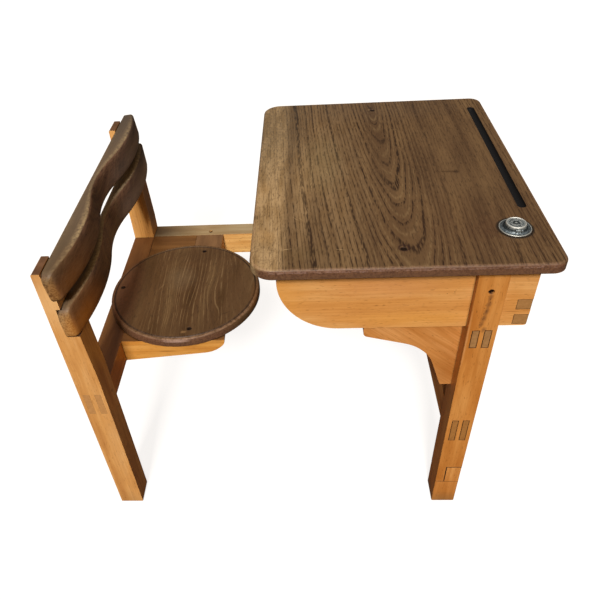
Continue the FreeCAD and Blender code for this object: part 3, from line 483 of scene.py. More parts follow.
alongX, alongY, alongZ = (0, 0, 0), (0, 0, -90), (0, 90, 0)
dirtBrown, crackDark, footDark, rubbedPale, stainDark = "#6b4524", "#3a1f0c", "#2c1a0c", "#f0c08a", "#8a4a14"
smear = [(310, 592, 4.5, 11, 0.85), (310, 577, 5.5, 11, 0.85), (308.5, 562, 5.5, 11, 0.9),
         (307, 548, 6, 11, 0.85), (305, 535, 5, 10, 0.8), (311, 522, 6, 9, 0.7), (314, 512, 4, 7, 0.5)]
drip = random.Random(7)
drops = [(310 - 0.07 * (600 - z) + drip.uniform(-4, 4), z, drip.uniform(0.9, 1.7), drip.uniform(1.2, 2.6),
          0.75) for z in range(528, 602, 6)]
beechPieces = {
    "side_panel_near": dict(turn=alongX, edgeMm=1.6, streaks=0.12, dark="#d08f48", mid="#dd9d56",
                            light="#eab26e", spots=[
        mark((-24.5, -281, 615), (0.9, 3, 8), 0.8, crackDark, turn=(0, -15, 0)),
        mark((255.7, -281, 593.6), (1.2, 3, 1), 0.8, crackDark, crisp=True),
        mark((244.3, -281, 590.5), (1, 3, 0.9), 0.7, crackDark, crisp=True),
        mark((257.1, -281, 597.5), (0.9, 3, 0.9), 0.6, crackDark, crisp=True),
        mark((354, -281, 551.2), (16, 3, 0.9), 0.6, stainDark),
        mark((362, -281, 542), (16, 3, 0.9), 0.5, stainDark),
        mark((350, -281, 590), (18, 3, 40), 0.35, "#c98538", soft=0.9),
        mark((-30, -281, 590), (70, 3, 70), 0.45, "#efaa48", soft=0.9),
        mark((210, -281, 540), (170, 3, 22), 0.45, "#eeab4c", soft=0.9),
        mark((150, -281, 610), (130, 3, 36), 0.35, "#dfa377", soft=0.9)]),
    "side_panel_far": dict(turn=alongX, edgeMm=1.2),
    "back_rail": dict(turn=alongY, edgeMm=0.8, end="#bb8a54", endDark="#8f6536"),
    "shelf_board": dict(turn=alongY, edgeMm=0.8),
    "desk_leg_near": dict(turn=alongZ, edgeMm=0.9, dark="#b9722e", mid="#cf8a42", light="#dc9c54", spots=[
        mark((x, -293, z), (a, 4, b), share, tone, turn=(0, 8, 0), soft=0.8)
        for marks, tone in ((smear, "#6c4528"), (drops, "#3a2412")) for x, z, a, b, share in marks] + [
        mark((293.2, -293, 563), (1.1, 3, 4), 0.6, crackDark),
        mark((325.8, -293, 557.6), (1, 3, 1.2), 0.6, crackDark),
        mark((287, -293, 500), (2.5, 4, 90), 0.35, rubbedPale, soft=0.9)]),
    "desk_leg_far": dict(turn=alongZ, edgeMm=0.9),
    "leg_foot_near": dict(turn=alongZ, edgeMm=1.6, dark="#b6722f", mid="#d08b46", spots=[
        mark((308, -268, 0), (60, 60, 46), 0.75, "#7c6340", soft=0.9),
        mark((308, -293, 79), (40, 5, 1.1), 0.75, crackDark),
        mark((308, -268, 0), (60, 60, 7), 0.75, footDark, soft=0.7)]),
    "upper_cross_rail": dict(turn=alongY, edgeMm=0.6, end="#c0915c", endDark="#7c5631"),
    "lower_stretcher": dict(turn=alongY, edgeMm=0.6, end="#bd8648", endDark="#87582a"),
    "bracket_near": dict(turn=(0, -40, 0), edgeMm=1, dark="#b06c2e", mid="#d08d4a", light="#de9f5e",
                         streaks=0.35, spots=[
        mark((274, -267, 395), (60, 30, 70), 0.45, "#9a5a20", soft=0.9)]),
    "bracket_far": dict(turn=(0, -40, 0), edgeMm=1, dark="#a86426", mid="#c9823a"),
    "chair_post_near": dict(turn=alongZ, edgeMm=1.8, mid="#e2a863", light="#eabb80", dark="#c28649",
                            streak="#b87838", up="#7b5a42", upDark="#4f3526", spots=[
        mark((-400, -296, 600), (60, 9, 80), 0.8, "#f6ca90", soft=0.9),
        mark((-360, -268, 300), (3, 6, 5), 0.5, dirtBrown),
        mark((-385, -268, 0), (60, 60, 60), 0.35, "#8a6238", soft=0.9),
        mark((-385, -268, 0), (60, 60, 7), 0.8, footDark, soft=0.7)]),
    # the far post's beech colours are lighter: painted light that offsets the shade the slats cast on it
    "chair_post_far": dict(turn=alongZ, edgeMm=1.8, up="#6b4d38", upDark="#43301f", dark="#cf9450",
                           mid="#e8ac60", light="#f0b872", spots=[
        mark((-352, 242, 430), (16, 40, 160), 0.72, "#5f4b43", turn=(0, -8, 0), soft=0.5)]),
    "seat_rail": dict(turn=alongY, edgeMm=0.6, end="#dba56a", endDark="#a5733f", up="#754e2c",
                      upDark="#56351a", mid="#c5833d"),
    "side_rail": dict(turn=alongX, edgeMm=1.4, slot="worn_beech", up="#ada387", upDark="#8c7858",
                      mid="#f6c47a", light="#fcd494", dark="#e2a95e", spots=[
        mark((-345, 243, 371), (110, 60, 8), 0.9, "#4f3c28", soft=0.8),
        mark((-143.3, 219, 353.3), (2.2, 3, 2.2), 0.85, crackDark),
        mark((-131.4, 219, 327.7), (1.3, 3, 1.3), 0.6, crackDark, crisp=True),
        mark((-170.6, 219, 351.1), (1.4, 3, 1.4), 0.6, crackDark, crisp=True),
        mark((-100, 219, 371), (160, 7, 3), 0.5, "#c9853a", soft=0.7)]),
    "seat_front_rail": dict(turn=alongY, edgeMm=1, up="#876748", upDark="#5e4630", mid="#c08440"),
    "seat_arm_near": dict(turn=alongX, edgeMm=1.2, mid="#e3a24c", light="#eeb768", spots=[
        mark((-160, -153, 372), (22, 6, 10), 0.5, "#8a5a24", soft=0.8),
        mark((-268, -153, 342), (26, 4, 2), 0.5, "#8a5a24")]),
    "seat_side_board": dict(turn=alongX, edgeMm=0.8, up="#7c5832", upDark="#5a3c1e", spots=[
        mark((-358.5, 165, 371), (2.2, 80, 5), 0.85, "#2a170a", crisp=True)]),
}
for number, (node, look) in enumerate(beechPieces.items()):
    cut = random.Random(number + 11)
    look = {"swayMm": 12, "raggedMm": 2.5, "ringScale": 1, "slot": "honey_beech",
            "pithTilt": (0, cut.uniform(-2, 2), cut.uniform(-2, 2)),
            "shift": (cut.uniform(-900, 900), cut.uniform(-40, 40), cut.uniform(-40, 40)),
            "pith": (0, cut.uniform(-160, 160), cut.uniform(120, 220)), **look}
    mesh = softened(node, look["edgeMm"], beechPieces)
    weighNormals(toObject(node, "wood", mesh, "desk", makeBeech("beech_" + node, look)))
print("beech frame built")


# Writing top: one oak board with a worn round arris, a pen groove and the inkwell's hole

top = dict(
    x0=-63.5, x1=406.5, y0=-314, y1=286, under=651, face=670, frontRadius=36, rearRadius=22.5,
    arris=5, underArris=2, cornerSteps=18, grooveX=377.8, grooveY=(-154.75, 230.25), grooveRadius=7.25,
    grooveDepth=9, grooveEase=0.8, well=(349.5, -220), wellRadius=21, wellEase=0.6,
    screws=[(171.5, -267), (171.5, 239)], screwRadius=4.7, darkDepthMm=1.2)
scratch, pitDark, waxGold, edgeInk = "#b79f78", "#2c1b0e", "#c7a06a", "#4a3418"
topMarks = [  # colour, how much, x, y, half length, half width, turn
    (scratch, 0.55, 38.5, -40, 82, 1, 89), (scratch, 0.8, 11, -173, 13, 0.8, -37),
    (scratch, 0.7, 18, -174, 10, 0.8, -58), (scratch, 0.95, -5, -257, 15, 1.3, 8),
    (scratch, 0.9, 80, -261, 11, 1.1, -12), (scratch, 0.45, 41, 20, 60, 1.2, 90),
    (scratch, 0.5, 68, -20, 26, 0.9, -78), (scratch, 0.5, 98, -76, 14, 0.7, -3),
    (scratch, 0.4, -30, 190, 22, 1, 60), ("#3c2814", 0.9, 286, -32.5, 22, 6, -3),
    (pitDark, 0.9, 299, -34, 8, 9, 0), (pitDark, 0.6, 278, -33, 16, 1.2, 4),
    (pitDark, 0.6, 346, -8.4, 4, 1.2, -10), (pitDark, 0.7, 132.8, 31, 5, 4, 0),
    (pitDark, 0.55, 178.6, 190, 3, 6, 0), (pitDark, 0.7, 174, 242, 5, 4.5, 0),
    (scratch, 0.7, 167, 246, 4, 3.5, 0), (pitDark, 0.85, 395, 58.5, 6.5, 1.3, 24),
    (pitDark, 0.75, 98, -262, 3, 4, 0), (pitDark, 0.5, 347, -258, 10, 7, 0),
    (pitDark, 0.7, -47, -176, 1.6, 1.6, 0), ("#8f8360", 0.4, 60, 20, 55, 170, 0),
    ("#575043", 0.92, -45, 165, 110, 320, 0), ("#5a452c", 0.5, -64, -20, 8, 320, 0),
    # 4d331d darkens and warms the near right and #6b6156 greys the far end: a painted reflection of the sky
    # on the wax
    ("#4d331d", 0.5, 270, -215, 240, 150, 0), ("#6b6156", 0.3, 150, 270, 300, 120, 0),
    ("#4a2c1c", 0.5, 320, -215, 60, 40, 30), ("#5a4a28", 0.35, 20, -270, 60, 26, 0),
    ("#6a5434", 0.4, -55, 215, 14, 50, 0), (waxGold, 0.5, -38, -220, 22, 34, 10),
    (waxGold, 0.35, -45, -75, 14, 40, 0), ("#4a3a1e", 0.6, -58, -165, 9, 12, 0)]
topSpots = [mark((x, y, 670), (a, b, 6), share, colour, turn=(0, 0, turn),
                 soft=0.9 if max(a, b) > 20 and min(a, b) > 6 else 0.6)
            for colour, share, x, y, a, b, turn in topMarks]
topSpots += [
    mark((-37.5, -264, 670), (24, 1, 5), 0.75, edgeInk, turn=(0, 0, 1)),
    mark((-37.5, -270, 670), (26, 27, 5), 0.5, edgeInk, ring=0.05),
    mark((172, -264.5, 670), (7.5, 7.5, 5), 0.8, "#2a0f10", ring=0.35, crisp=True),
    # a painted contact shadow, with grime, in a dark ring round the inkwell's flange
    mark((349.5, -220, 670), (26.6, 26.6, 5), 0.95, "#0d0805", ring=0.14, crisp=True),
    # a painted highlight along the rounded near arris
    mark((0, -311.6, 668.6), (900, 2.2, 2), 0.4, "#b8988a", soft=0.8),
    mark((100, -316, 658), (900, 8, 9), 0.45, "#5f4a34", soft=0.6),
    mark((172, -264.5, 670), (30, 26, 5), 0.35, "#3a2a18", soft=0.9)]
topWood = dict(
    turn=alongY, swayMm=11, raggedMm=7, ringScale=1, shift=(0, 0, 0), pithTilt=(0, 5.5, -2), dashMm=17,
    # the near-black hollow tone in the groove and holes is painted shade and dirt
    pith=(0, 173, -640), darkLines=1, paleLines=0.3, pores=0.5, thread=0.14, wear=0.35, hollow="#080607",
    bareZones=[mark((-64, 0, 670), (70, 900, 40), 0.82, soft=0.3),
               mark((20, -60, 670), (30, 300, 40), 0.5, soft=0.8),
               mark((70, 0, 670), (90, 500, 40), 0.3, soft=0.9)],
    calmZones=[mark((320, 20, 670), (120, 420, 40), 0.75, soft=0.7),
               mark((168, 40, 670), (30, 170, 40), 0.5, soft=0.7)],
    spots=topSpots)


def boardOutline(look, inset):
    points = []
    x0, x1, y0, y1, front, rear = (look[k] for k in ("x0", "x1", "y0", "y1", "frontRadius", "rearRadius"))
    for x, y, radius, start in ((x1 - rear, y1 - rear, rear, 0), (x0 + front, y1 - front, front, 90),
                                (x0 + front, y0 + front, front, 180), (x1 - rear, y0 + rear, rear, 270)):
        points += arcPoints((x, y), radius - inset, start, start + 90, look["cornerSteps"])
    return points


def stadium(look, inset, steps=12):  # the groove's outline
    radius = look["grooveRadius"] - inset
    x, (y0, y1) = look["grooveX"], look["grooveY"]
    return arcPoints((x, y1), radius, 0, 180, steps) + arcPoints((x, y0), radius, 180, 360, steps)


def topHollow(x, y, z):  # 1 in the groove and in the holes, rising with depth below the face: painted shade and dirt
    y0, y1 = top["grooveY"]
    inside = abs(x - top["grooveX"]) < top["grooveRadius"] + 0.3 and y0 - 8 < y < y1 + 8
    inside = inside or within(x, y, top["screws"], top["screwRadius"] + 0.3)
    inside = inside or within(x, y, [top["well"]], top["wellRadius"] + 1)
    return min(1, max(0, (top["face"] - z) / top["darkDepthMm"])) if inside and z > top["under"] + 1 else 0


def makeTop(look):
    face, arris, ease = look["face"], look["arris"], look["grooveEase"]
    levels = [(look["underArris"], look["under"]), (0, look["under"] + look["underArris"])]
    levels += arcPoints((arris, face - arris), arris, 180, 90, 8)
    rings = [[(x, y, z) for x, y in boardOutline(look, inset)] for inset, z in levels]
    mesh = ringsToMesh("desk_top_wood", rings)
    markPoints(mesh, "arris", lambda x, y, z: 1 if face - 1.6 < z < face - 0.05 else 0)
    piece = toObject("desk_top", "wood", mesh, "desk", makeOak("oak_top", topWood))
    radius = look["grooveRadius"]
    groove = [(-ease, face + 2), (-ease, face)]
    groove += [(ease * math.sin(a) - ease, face - ease * (1 - math.cos(a))) for a in radians((45, 90))]
    foot = face - look["grooveDepth"] + radius
    groove += [(radius - x, z) for x, z in arcPoints((0, foot), radius, 0, -84, 10)]
    cutters = [ringsToMesh("groove", [[(x, y, z) for x, y in stadium(look, inset)] for inset, z in groove])]
    bore, mouth, deep = look["wellRadius"], look["wellRadius"] + look["wellEase"], face - look["under"]
    well = [(0, -5), (bore, -5), (bore, deep - look["wellEase"]), (mouth, deep + 0.01), (mouth, 25), (0, 25)]
    cutters.append(turnProfile("well", well, (*look["well"], look["under"]), 64))
    cutAway(piece, cutters + sinks(look, face))
    markPoints(piece.data, "hollow", topHollow)
    smoothMesh(piece.data, 35)
    weighNormals(piece)


makeTop(top)
print("writing top built")


# Back slats: sculpted by hand, thick at the two swells and thin at the waist

slats = {
    "back_slat_upper": dict(
        rear=-392, top=655.5, tilt=6, height=54, waist=12.5, arch=1.5, rearRadius=2, nearCorner=15,
        farCorner=17, end="#9e7749", endDark="#5c3c20", nearFront="#8c5820", farFront="#857c78"),
    "back_slat_lower": dict(
        rear=-387.5, top=583.796, tilt=2.5, height=62, waist=14.5, arch=0, rearRadius=4.5, nearCorner=19,
        farCorner=16, end="#b8905c", endDark="#74502c", nearFront="#c0761e", farFront="#a89c98"),
}
slatShape = dict(
    middle=9, half=305, swell=36, offset=182, waistRadius=300, archMm=90, frontRound=5,
    underRound=6, endRadius=9, lowCorner=7, rearEase=0.8, stations=150, unevenMm=0.35, unevenEveryMm=23,
    rubLengthMm=95, endSteps=(0, 0.25, 0.8, 1.8, 3.2, 5, 7.2, 10, 13, 16.5), endMm=18)
slatWood = dict(
    turn=alongY, swayMm=8, raggedMm=8, ringScale=0.8, pithTilt=(0, 0.6, 0), pith=(0, 410, -560),
    darkLines=0.35, paleLines=0.3, pores=0.5, thread=0.4, wear=0.85, arris="#ae9a76", dark="#5b4332",
    mid="#775846", light="#896a55", up="#776a57", upDark="#564a3c", upShare=0.8)


def slatThickness(y, waist):  # a hollow arc at the waist that runs smoothly into a round arc at each swell
    swell, offset, hollow = (slatShape[k] for k in ("swell", "offset", "waistRadius"))
    rise = swell - waist
    both = (offset ** 2 + rise ** 2) / (2 * rise)
    y, bulge = abs(y), both - hollow
    if y < offset * hollow / both:
        return waist + hollow - math.sqrt(hollow ** 2 - y ** 2)
    return swell - bulge + math.sqrt(bulge ** 2 - (y - offset) ** 2)


def endLoss(distance, radius):  # how much a rounded end takes off at a distance from the end
    gap = max(0, radius - distance)
    return radius - math.sqrt(max(0, radius ** 2 - gap ** 2))


def slatSection(look, y, seed):
    distance = slatShape["half"] - abs(y)
    front = slatThickness(y, look["waist"]) - endLoss(distance, slatShape["endRadius"])
    high = -endLoss(distance, look["farCorner"] if y > 0 else look["nearCorner"])
    arch = look["arch"] * math.exp(-(y / slatShape["archMm"]) ** 2)
    low = -look["height"] + endLoss(distance, slatShape["lowCorner"]) + arch
    upper, under, ease = slatShape["frontRound"], slatShape["underRound"], slatShape["rearEase"]
    rear = min(look["rearRadius"], 0.45 * front)
    outline = arcPoints((rear, high - rear), rear, 180, 90, 5)
    outline += [(rear + (front - upper - rear) * t, high) for t in (0.33, 0.66)]
    outline += arcPoints((front - upper, high - upper), upper, 90, 0, 7)
    outline += [(front, high - upper + (low + under - high + upper) * t) for t in (0.25, 0.5, 0.75)]
    outline += arcPoints((front - under, low + under), under, 0, -90, 4)
    outline += [((front - under) * (1 - t) + ease * t, low) for t in (0.5, 1)]
    outline += [(0, low + ease + (high - rear - low - ease) * t) for t in (0, 0.33, 0.66)]
    tilt = math.radians(look["tilt"])
    uneven = slatShape["unevenMm"] * noise.noise(Vector((y / slatShape["unevenEveryMm"], seed, 0)))
    points = []
    for x, z in outline:
        if front - x < upper and abs(z - high) < upper:  # the worn front arris isn't quite even
            x, z = x - 0.3 - uneven, z - 0.2 - 0.6 * uneven
        points.append((look["rear"] + x * math.cos(tilt) - z * math.sin(tilt), y + slatShape["middle"],
                       look["top"] + x * math.sin(tilt) + z * math.cos(tilt)))
    return points


def makeSlat(node, look, seed):
    half, inside, end = (slatShape[k] for k in ("half", "stations", "endMm"))
    ends = [half - step for step in slatShape["endSteps"]]
    stations = [-e for e in ends] + [-half + end + 2 * (half - end) * k / inside for k in range(inside + 1)]
    stations += ends[::-1]
    mesh = ringsToMesh(node + "_wood", [slatSection(look, y, seed) for y in stations])
    edge = mesh.attributes.new("arris", "FLOAT", "POINT")
    size = len(slatSection(look, 0, seed))
    for k, item in enumerate(edge.data):  # rubbed on the front arris, points 8 to 11, and most at the swells
        swell = math.exp(-((abs(stations[k // size]) - slatShape["offset"]) / slatShape["rubLengthMm"]) ** 2)
        item.value = (0.3 + 0.7 * swell) * (1 if 8 <= k % size <= 11 else (0.3 if k % size < 6 else 0))
    smoothMesh(mesh, 50)
    near, far, high = slatShape["middle"] - half, slatShape["middle"] + half, look["top"]
    middle = high - look["height"] / 2
    tones = {"shift": (seed * 170, seed * 33, 0), "end": look["end"], "endDark": look["endDark"], "spots": [
        # lighter, warmer front at the near end: varnish tone and painted warm bounce light
        mark((-350, near + 30, middle - 12), (40, 120, 60), 0.8, look["nearFront"], soft=0.9),
        # greyer front at the far end: a painted cool reflection
        mark((-360, far - 60, middle - 20), (60, 260, 60), 0.65, look["farFront"], soft=0.9),
        mark((-380, far, high), (60, 250, 20), 0.9, "#4a423b", soft=0.9),
        mark((-380, near, high), (60, 170, 20), 0.6, "#56452f", soft=0.9)]}
    toObject(node, "wood", mesh, "desk", makeOak("oak_" + node, {**slatWood, **tones}))


for seed, (node, look) in enumerate(slats.items()):
    makeSlat(node, look, seed + 2)
print("back slats built")


# Seat: a turned oak disc, with a small step and a bead round its edge

seat = dict(centre=(-242.6, -10.8, 371), radius=161.8, thick=20.5, underRound=4, mouldWidth=8.5,
            quirk=1.3, drop=9.5, screwRadius=4.7, screws=[(-382.5, -4), (-217, -140), (-217, 123)])
seatMarks = [  # colour, how much, softness, x, y, half length, half width, turn
    ("#33200f", 0.35, 0.9, -137, 62, 16, 30, 0), ("#4e3820", 0.5, 0.9, -118, -45, 34, 14, 20),
    # 7d533c is the painted tint of the shade that the slats cast on the back part of the seat
    ("#5c4229", 0.6, 0.8, -125, -20, 38, 110, 0), ("#7d533c", 0.7, 0.6, -372, -20, 46, 190, 0),
    ("#4a331c", 0.6, 0.9, -215, 110, 100, 36, 0), ("#4a331c", 0.55, 0.9, -205, -138, 110, 32, 0),
    ("#2c1a0c", 0.6, 0.7, -146, -93, 14, 2.5, 25), ("#7b6a52", 0.45, 0.9, -255, 25, 46, 60, 0),
    ("#b08a5c", 0.6, 0.7, -225, -147, 9, 5, 10), ("#a08660", 0.4, 0.8, -294, -2, 3, 14, -25),
    ("#2c1a0c", 0.6, 0.6, -171, 49, 2, 2, 0)]
seatWood = dict(
    turn=alongY, swayMm=34, raggedMm=5, ringScale=1.05, shift=(300, 0, 0), pithTilt=(0, 4, 0),
    pith=(0, -118, -330), darkLines=0.25, paleLines=0.4, pores=0.35, thread=0.14, wear=0.65, arris="#a9866c",
    dark="#4d3419", mid="#5b4127", light="#695033", pale="#ab9068")


def makeSeat(look):
    cx, cy, cz = look["centre"]
    radius, thick, quirk, under, drop = (look[k] for k in ("radius", "thick", "quirk", "underRound", "drop"))
    inner = radius - look["mouldWidth"]
    crown = (radius + inner + quirk) / 2
    profile = [(0, 0), (radius - under, 0)] + arcPoints((radius - under, under), under, -72, 0, 4)
    profile += [(crown + (radius - crown) * math.cos(a), thick - drop + (drop - 0.2) * math.sin(a))
                for a in radians(range(0, 91, 9))]
    profile += [(inner + out, thick - down) for out, down in (
        (quirk + 0.5, 0.5), (quirk, 1), (quirk * 0.5, 1.4), (0, 0.9), (-0.4, 0.2), (-1.1, 0), (-3, 0))]
    profile += [(inner * t, thick) for t in (0.9, 0.7, 0.5, 0.3, 0.1, 0)]
    mesh = turnProfile("seat_disc_wood", profile, look["centre"], 144)
    face = cz + thick

    def beadWearAndHighlight(x, y, z):  # the bead is rubbed pale at the near side, where a pupil gets in, and carries a painted highlight there where the light falls
        side = max(0, (cy - y + 0.35 * (x - cx)) / radius)
        return 0.1 + 0.9 * side ** 1.5 if math.hypot(x - cx, y - cy) > inner - 1.5 and z > face - 2.4 else 0

    markPoints(mesh, "arris", beadWearAndHighlight)
    step = inner + quirk / 2
    spots = [mark((x, y, face), (a, b, 5), share, colour, turn=(0, 0, turn), soft=soft)
             for colour, share, soft, x, y, a, b, turn in seatMarks]
    spots += [mark((cx, cy, face - 1), (step, step, 6), 0.8, "#1a0e06", ring=0.01, crisp=True),
              # a painted highlight along the near bead
              mark((cx + 15, cy - radius + 3, face - 2), (80, 4, 4), 0.45, "#d8b8a8", soft=0.9),
              mark((cx + inner, cy - 40, face - 6), (14, 90, 9), 0.5, "#8a5316", soft=0.9, crisp=True)]
    calm = [mark((-345, -20, face), (62, 220, 20), 0.95, soft=0.5),
            mark((-120, -10, face), (48, 190, 20), 0.85, soft=0.6),
            mark((-230, 140, face), (120, 50, 20), 0.6, soft=0.9),
            mark((-200, -150, face), (140, 50, 20), 0.7, soft=0.9)]
    wood = makeOak("oak_seat", {**seatWood, "calmZones": calm, "spots": spots})
    piece = toObject("seat_disc", "wood", mesh, "desk", wood)
    cutAway(piece, sinks(look, face))
    # the screw sinks take the dark hollow tone: painted shade and dirt
    markPoints(piece.data, "hollow", lambda x, y, z: 1 if z < face - 0.5 and within(
        x, y, look["screws"], look["screwRadius"] + 0.4) else 0)
    smoothMesh(piece.data, 35)
    weighNormals(piece)


makeSeat(seat)
print("seat built")


# Small metal: slotted steel screws gone dark, the cast zinc inkwell rubbed bright on its edges

def makeMetal(name, look):  # worn metal, dark in its hollows and blotched where it has dulled
    material = bpy.data.materials.new(name)
    add = startNodes(material)
    place = add("TexCoord", {}).outputs["Object"]
    blotch = add("TexNoise", {"Vector": place, "Scale": 1 / (look["blotchMm"] * mm), "Detail": 4,
                              "Roughness": 0.6})
    shade = add("ValToRGB", {"Fac": blotch, "stops": [(0.35, look["dark"]), (0.62, look["light"])]})
    for layer, tone in (("arris", look["edge"]), ("hollow", look["hollow"])):
        share = add("Attribute", {"attribute_name": layer}).outputs["Fac"]
        shade = add("Mix", {**colourMix, 0: share, 6: shade, 7: tone})
    dull, bright = look["roughness"] + 0.2, look["roughness"] - 0.1
    rough = add("MapRange", {"Value": blotch, "To Min": dull, "To Max": bright})
    bump = add("Bump", {"Strength": 0.3, "Distance": 0.2 * mm, "Height": blotch})
    shader = add("BsdfPrincipled", {"Metallic": 1, "Base Color": shade, "Roughness": rough, "Normal": bump})
    add("OutputMaterial", {"Surface": shader})
    return material


screwSteel = makeMetal("steel_screw_dark", dict(
    light="#5c4638", dark="#2a1a14", edge="#7a6658", hollow="#0c0706", roughness=0.5, blotchMm=1.5))
zincRing = makeMetal("zinc_cast_ring", dict(
    light="#a7b0b3", dark="#4c5457", edge="#dcdad0", hollow="#1d2223", roughness=0.52, blotchMm=3.2))
zincCap = makeMetal("zinc_cast_cap", dict(
    light="#bcc0bd", dark="#5d6463", edge="#e2e0d8", hollow="#1c201f", roughness=0.64, blotchMm=3.6))

screw = dict(head=4.5, shank=2.2, slotWidth=1.1, slotDepth=1, steps=24)
up, nearward, farward, rearward = (0, 0, 1), (0, -1, 0), (0, 1, 0), (-1, 0, 0)
screwSets = {  # each place with the way its head looks, the turn of its slot and the length
    "top_screws": [((*place, 669.2), up, turn, 45) for place, turn in zip(top["screws"], (10, 60))],
    "leg_screws": [((308, -289.5, 602), nearward, 35, 30), ((308, 261.5, 602), farward, 80, 30)],
    "seat_screws": [((*place, 390.7), up, turn, 42) for place, turn in zip(seat["screws"], (20, 75, 130))],
    "slat_screws": [((-405.7, y, z), rearward, turn, 26) for y, z, turn in (
        (-268.5, 628.5, 5), (240.5, 628.5, 50), (-268.5, 552.8, 95), (240.5, 552.8, 140))],
    "frame_screw": [((-217, 235, 367.5), up, 15, 40)],
}


def makeScrews(node, places):
    bm = bmesh.new()
    head, shank, reach, half = screw["head"], screw["shank"], 2 * screw["head"], screw["slotWidth"] / 2
    slot = [[(-reach, -half, z), (reach, -half, z), (reach, half, z), (-reach, half, z)]
            for z in (-screw["slotDepth"], 3)]
    for place, out, slotTurn, length in places:
        profile = [(0, -length), (shank * 0.6, 2 - length), (shank, 5 - length), (shank, -3), (head, -0.15),
                   (head - 0.15, 0), (0, 0)]
        blank = addObject("blank", turnProfile("blank", profile, (0, 0, 0), screw["steps"]))
        cutAway(blank, [ringsToMesh("slot", slot)])
        turn = Vector(out).to_track_quat("Z", "Y").to_matrix().to_4x4() @ Matrix.Rotation(
            math.radians(slotTurn), 4, "Z")
        blank.data.transform(Matrix.Translation(Vector(place) * mm) @ turn)
        bm.from_mesh(blank.data)
        bpy.data.objects.remove(blank)
    mesh = toMesh(bm, node + "_steel")
    smoothMesh(mesh, 30)
    toObject(node, "steel", mesh, "desk", screwSteel)


for node, places in screwSets.items():
    makeScrews(node, places)

pegs = dict(turn=alongX, edgeMm=0.3, swayMm=4, raggedMm=1, ringScale=0.5, pithTilt=(0, 0, 0), shift=(0, 0, 0),
            pith=(0, 60, 60), mid="#6f431d", dark="#4e2c10", light="#85562a")
toObject("rail_pegs", "wood", softened("rail_pegs", pegs["edgeMm"]), "desk",
         makeBeech("beech_pegs", pegs))
print("screws and pegs built")


# Inkwell: heights are above the writing top

inkwell = dict(centre=(349.5, -220, 670), flange=25, crown=17.75, mouth=11, rise=5, low=0.3,
               lid=15.95, lidLow=5.3, lidTop=10.9, petals=8, pinY=-18.35, pinZ=7.3, knuckle=1.8,
               knuckleHalf=3, dentMm=0.35, reliefMm=0.85, steps=96)


def looseParts(bm):
    todo, parts = set(bm.verts), []
    while todo:
        stack, part = [todo.pop()], []
        while stack:
            vert = stack.pop()
            part.append(vert)
            near = [v for v in (e.other_vert(vert) for e in vert.link_edges) if v in todo]
            todo.difference_update(near)
            stack += near
        parts.append(part)
    return parts


def makeFlange(look):  # a cast ring with a rubbed, dented rim, and the two ears that hold the lid's pin
    cx, cy, cz = look["centre"]
    low, rise, flange, crown, mouth = (look[k] for k in ("low", "rise", "flange", "crown", "mouth"))
    profile = [(mouth, low)] + [(flange - back, low + lift) for back, lift in (
        (0.5, 0), (0, 0.4), (0, 1), (0.5, 1.5), (1.5, 1.6), (2.3, 1.25), (3.2, 1.35), (4.6, 1.9))]
    profile += [(crown + out, rise - down) for out, down in ((1.4, 2), (0.7, 1), (0.1, 0.3), (-0.5, 0))]
    profile += [(mouth + 0.4, rise), (mouth, rise - 0.4), (mouth, low)]

    def dented(r, z, angle):
        if r < flange - 2.4:
            return r, z
        dent = noise.noise(Vector((math.cos(angle) * 3.1, math.sin(angle) * 3.1, 0.4)))
        return r - look["dentMm"] * abs(dent), z - 0.2 * max(0, dent)

    def groove(x, y, z):
        r = math.hypot(x - cx, y - cy)
        return 0.75 if crown - 1 < r < crown + 1 or flange - 3 < r < flange - 2 else 0

    bm = bmesh.new()
    turned(bm, profile, look["centre"], look["steps"], dented)
    ears = bmesh.new()
    ears.from_mesh(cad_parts["inkwell_flange"].data)
    weld(ears)
    for part in looseParts(ears):  # the solid's ring is wider than its ears
        if max(v.co.x for v in part) - min(v.co.x for v in part) > 10 * mm:
            bmesh.ops.delete(ears, geom=part, context="VERTS")
    bm.from_mesh(toMesh(ears, "ears"))
    faceOut(bm)
    mesh = toMesh(bm, "inkwell_flange_metal")
    markPoints(mesh, "arris", lambda x, y, z: 0.9 if z > cz + low + 0.9 and not within(
        x, y, [(cx, cy)], flange - 2) else 0)
    markPoints(mesh, "hollow", groove)
    smoothMesh(mesh, 30)
    toObject("inkwell_flange", "metal", mesh, "inkwell", zincRing)


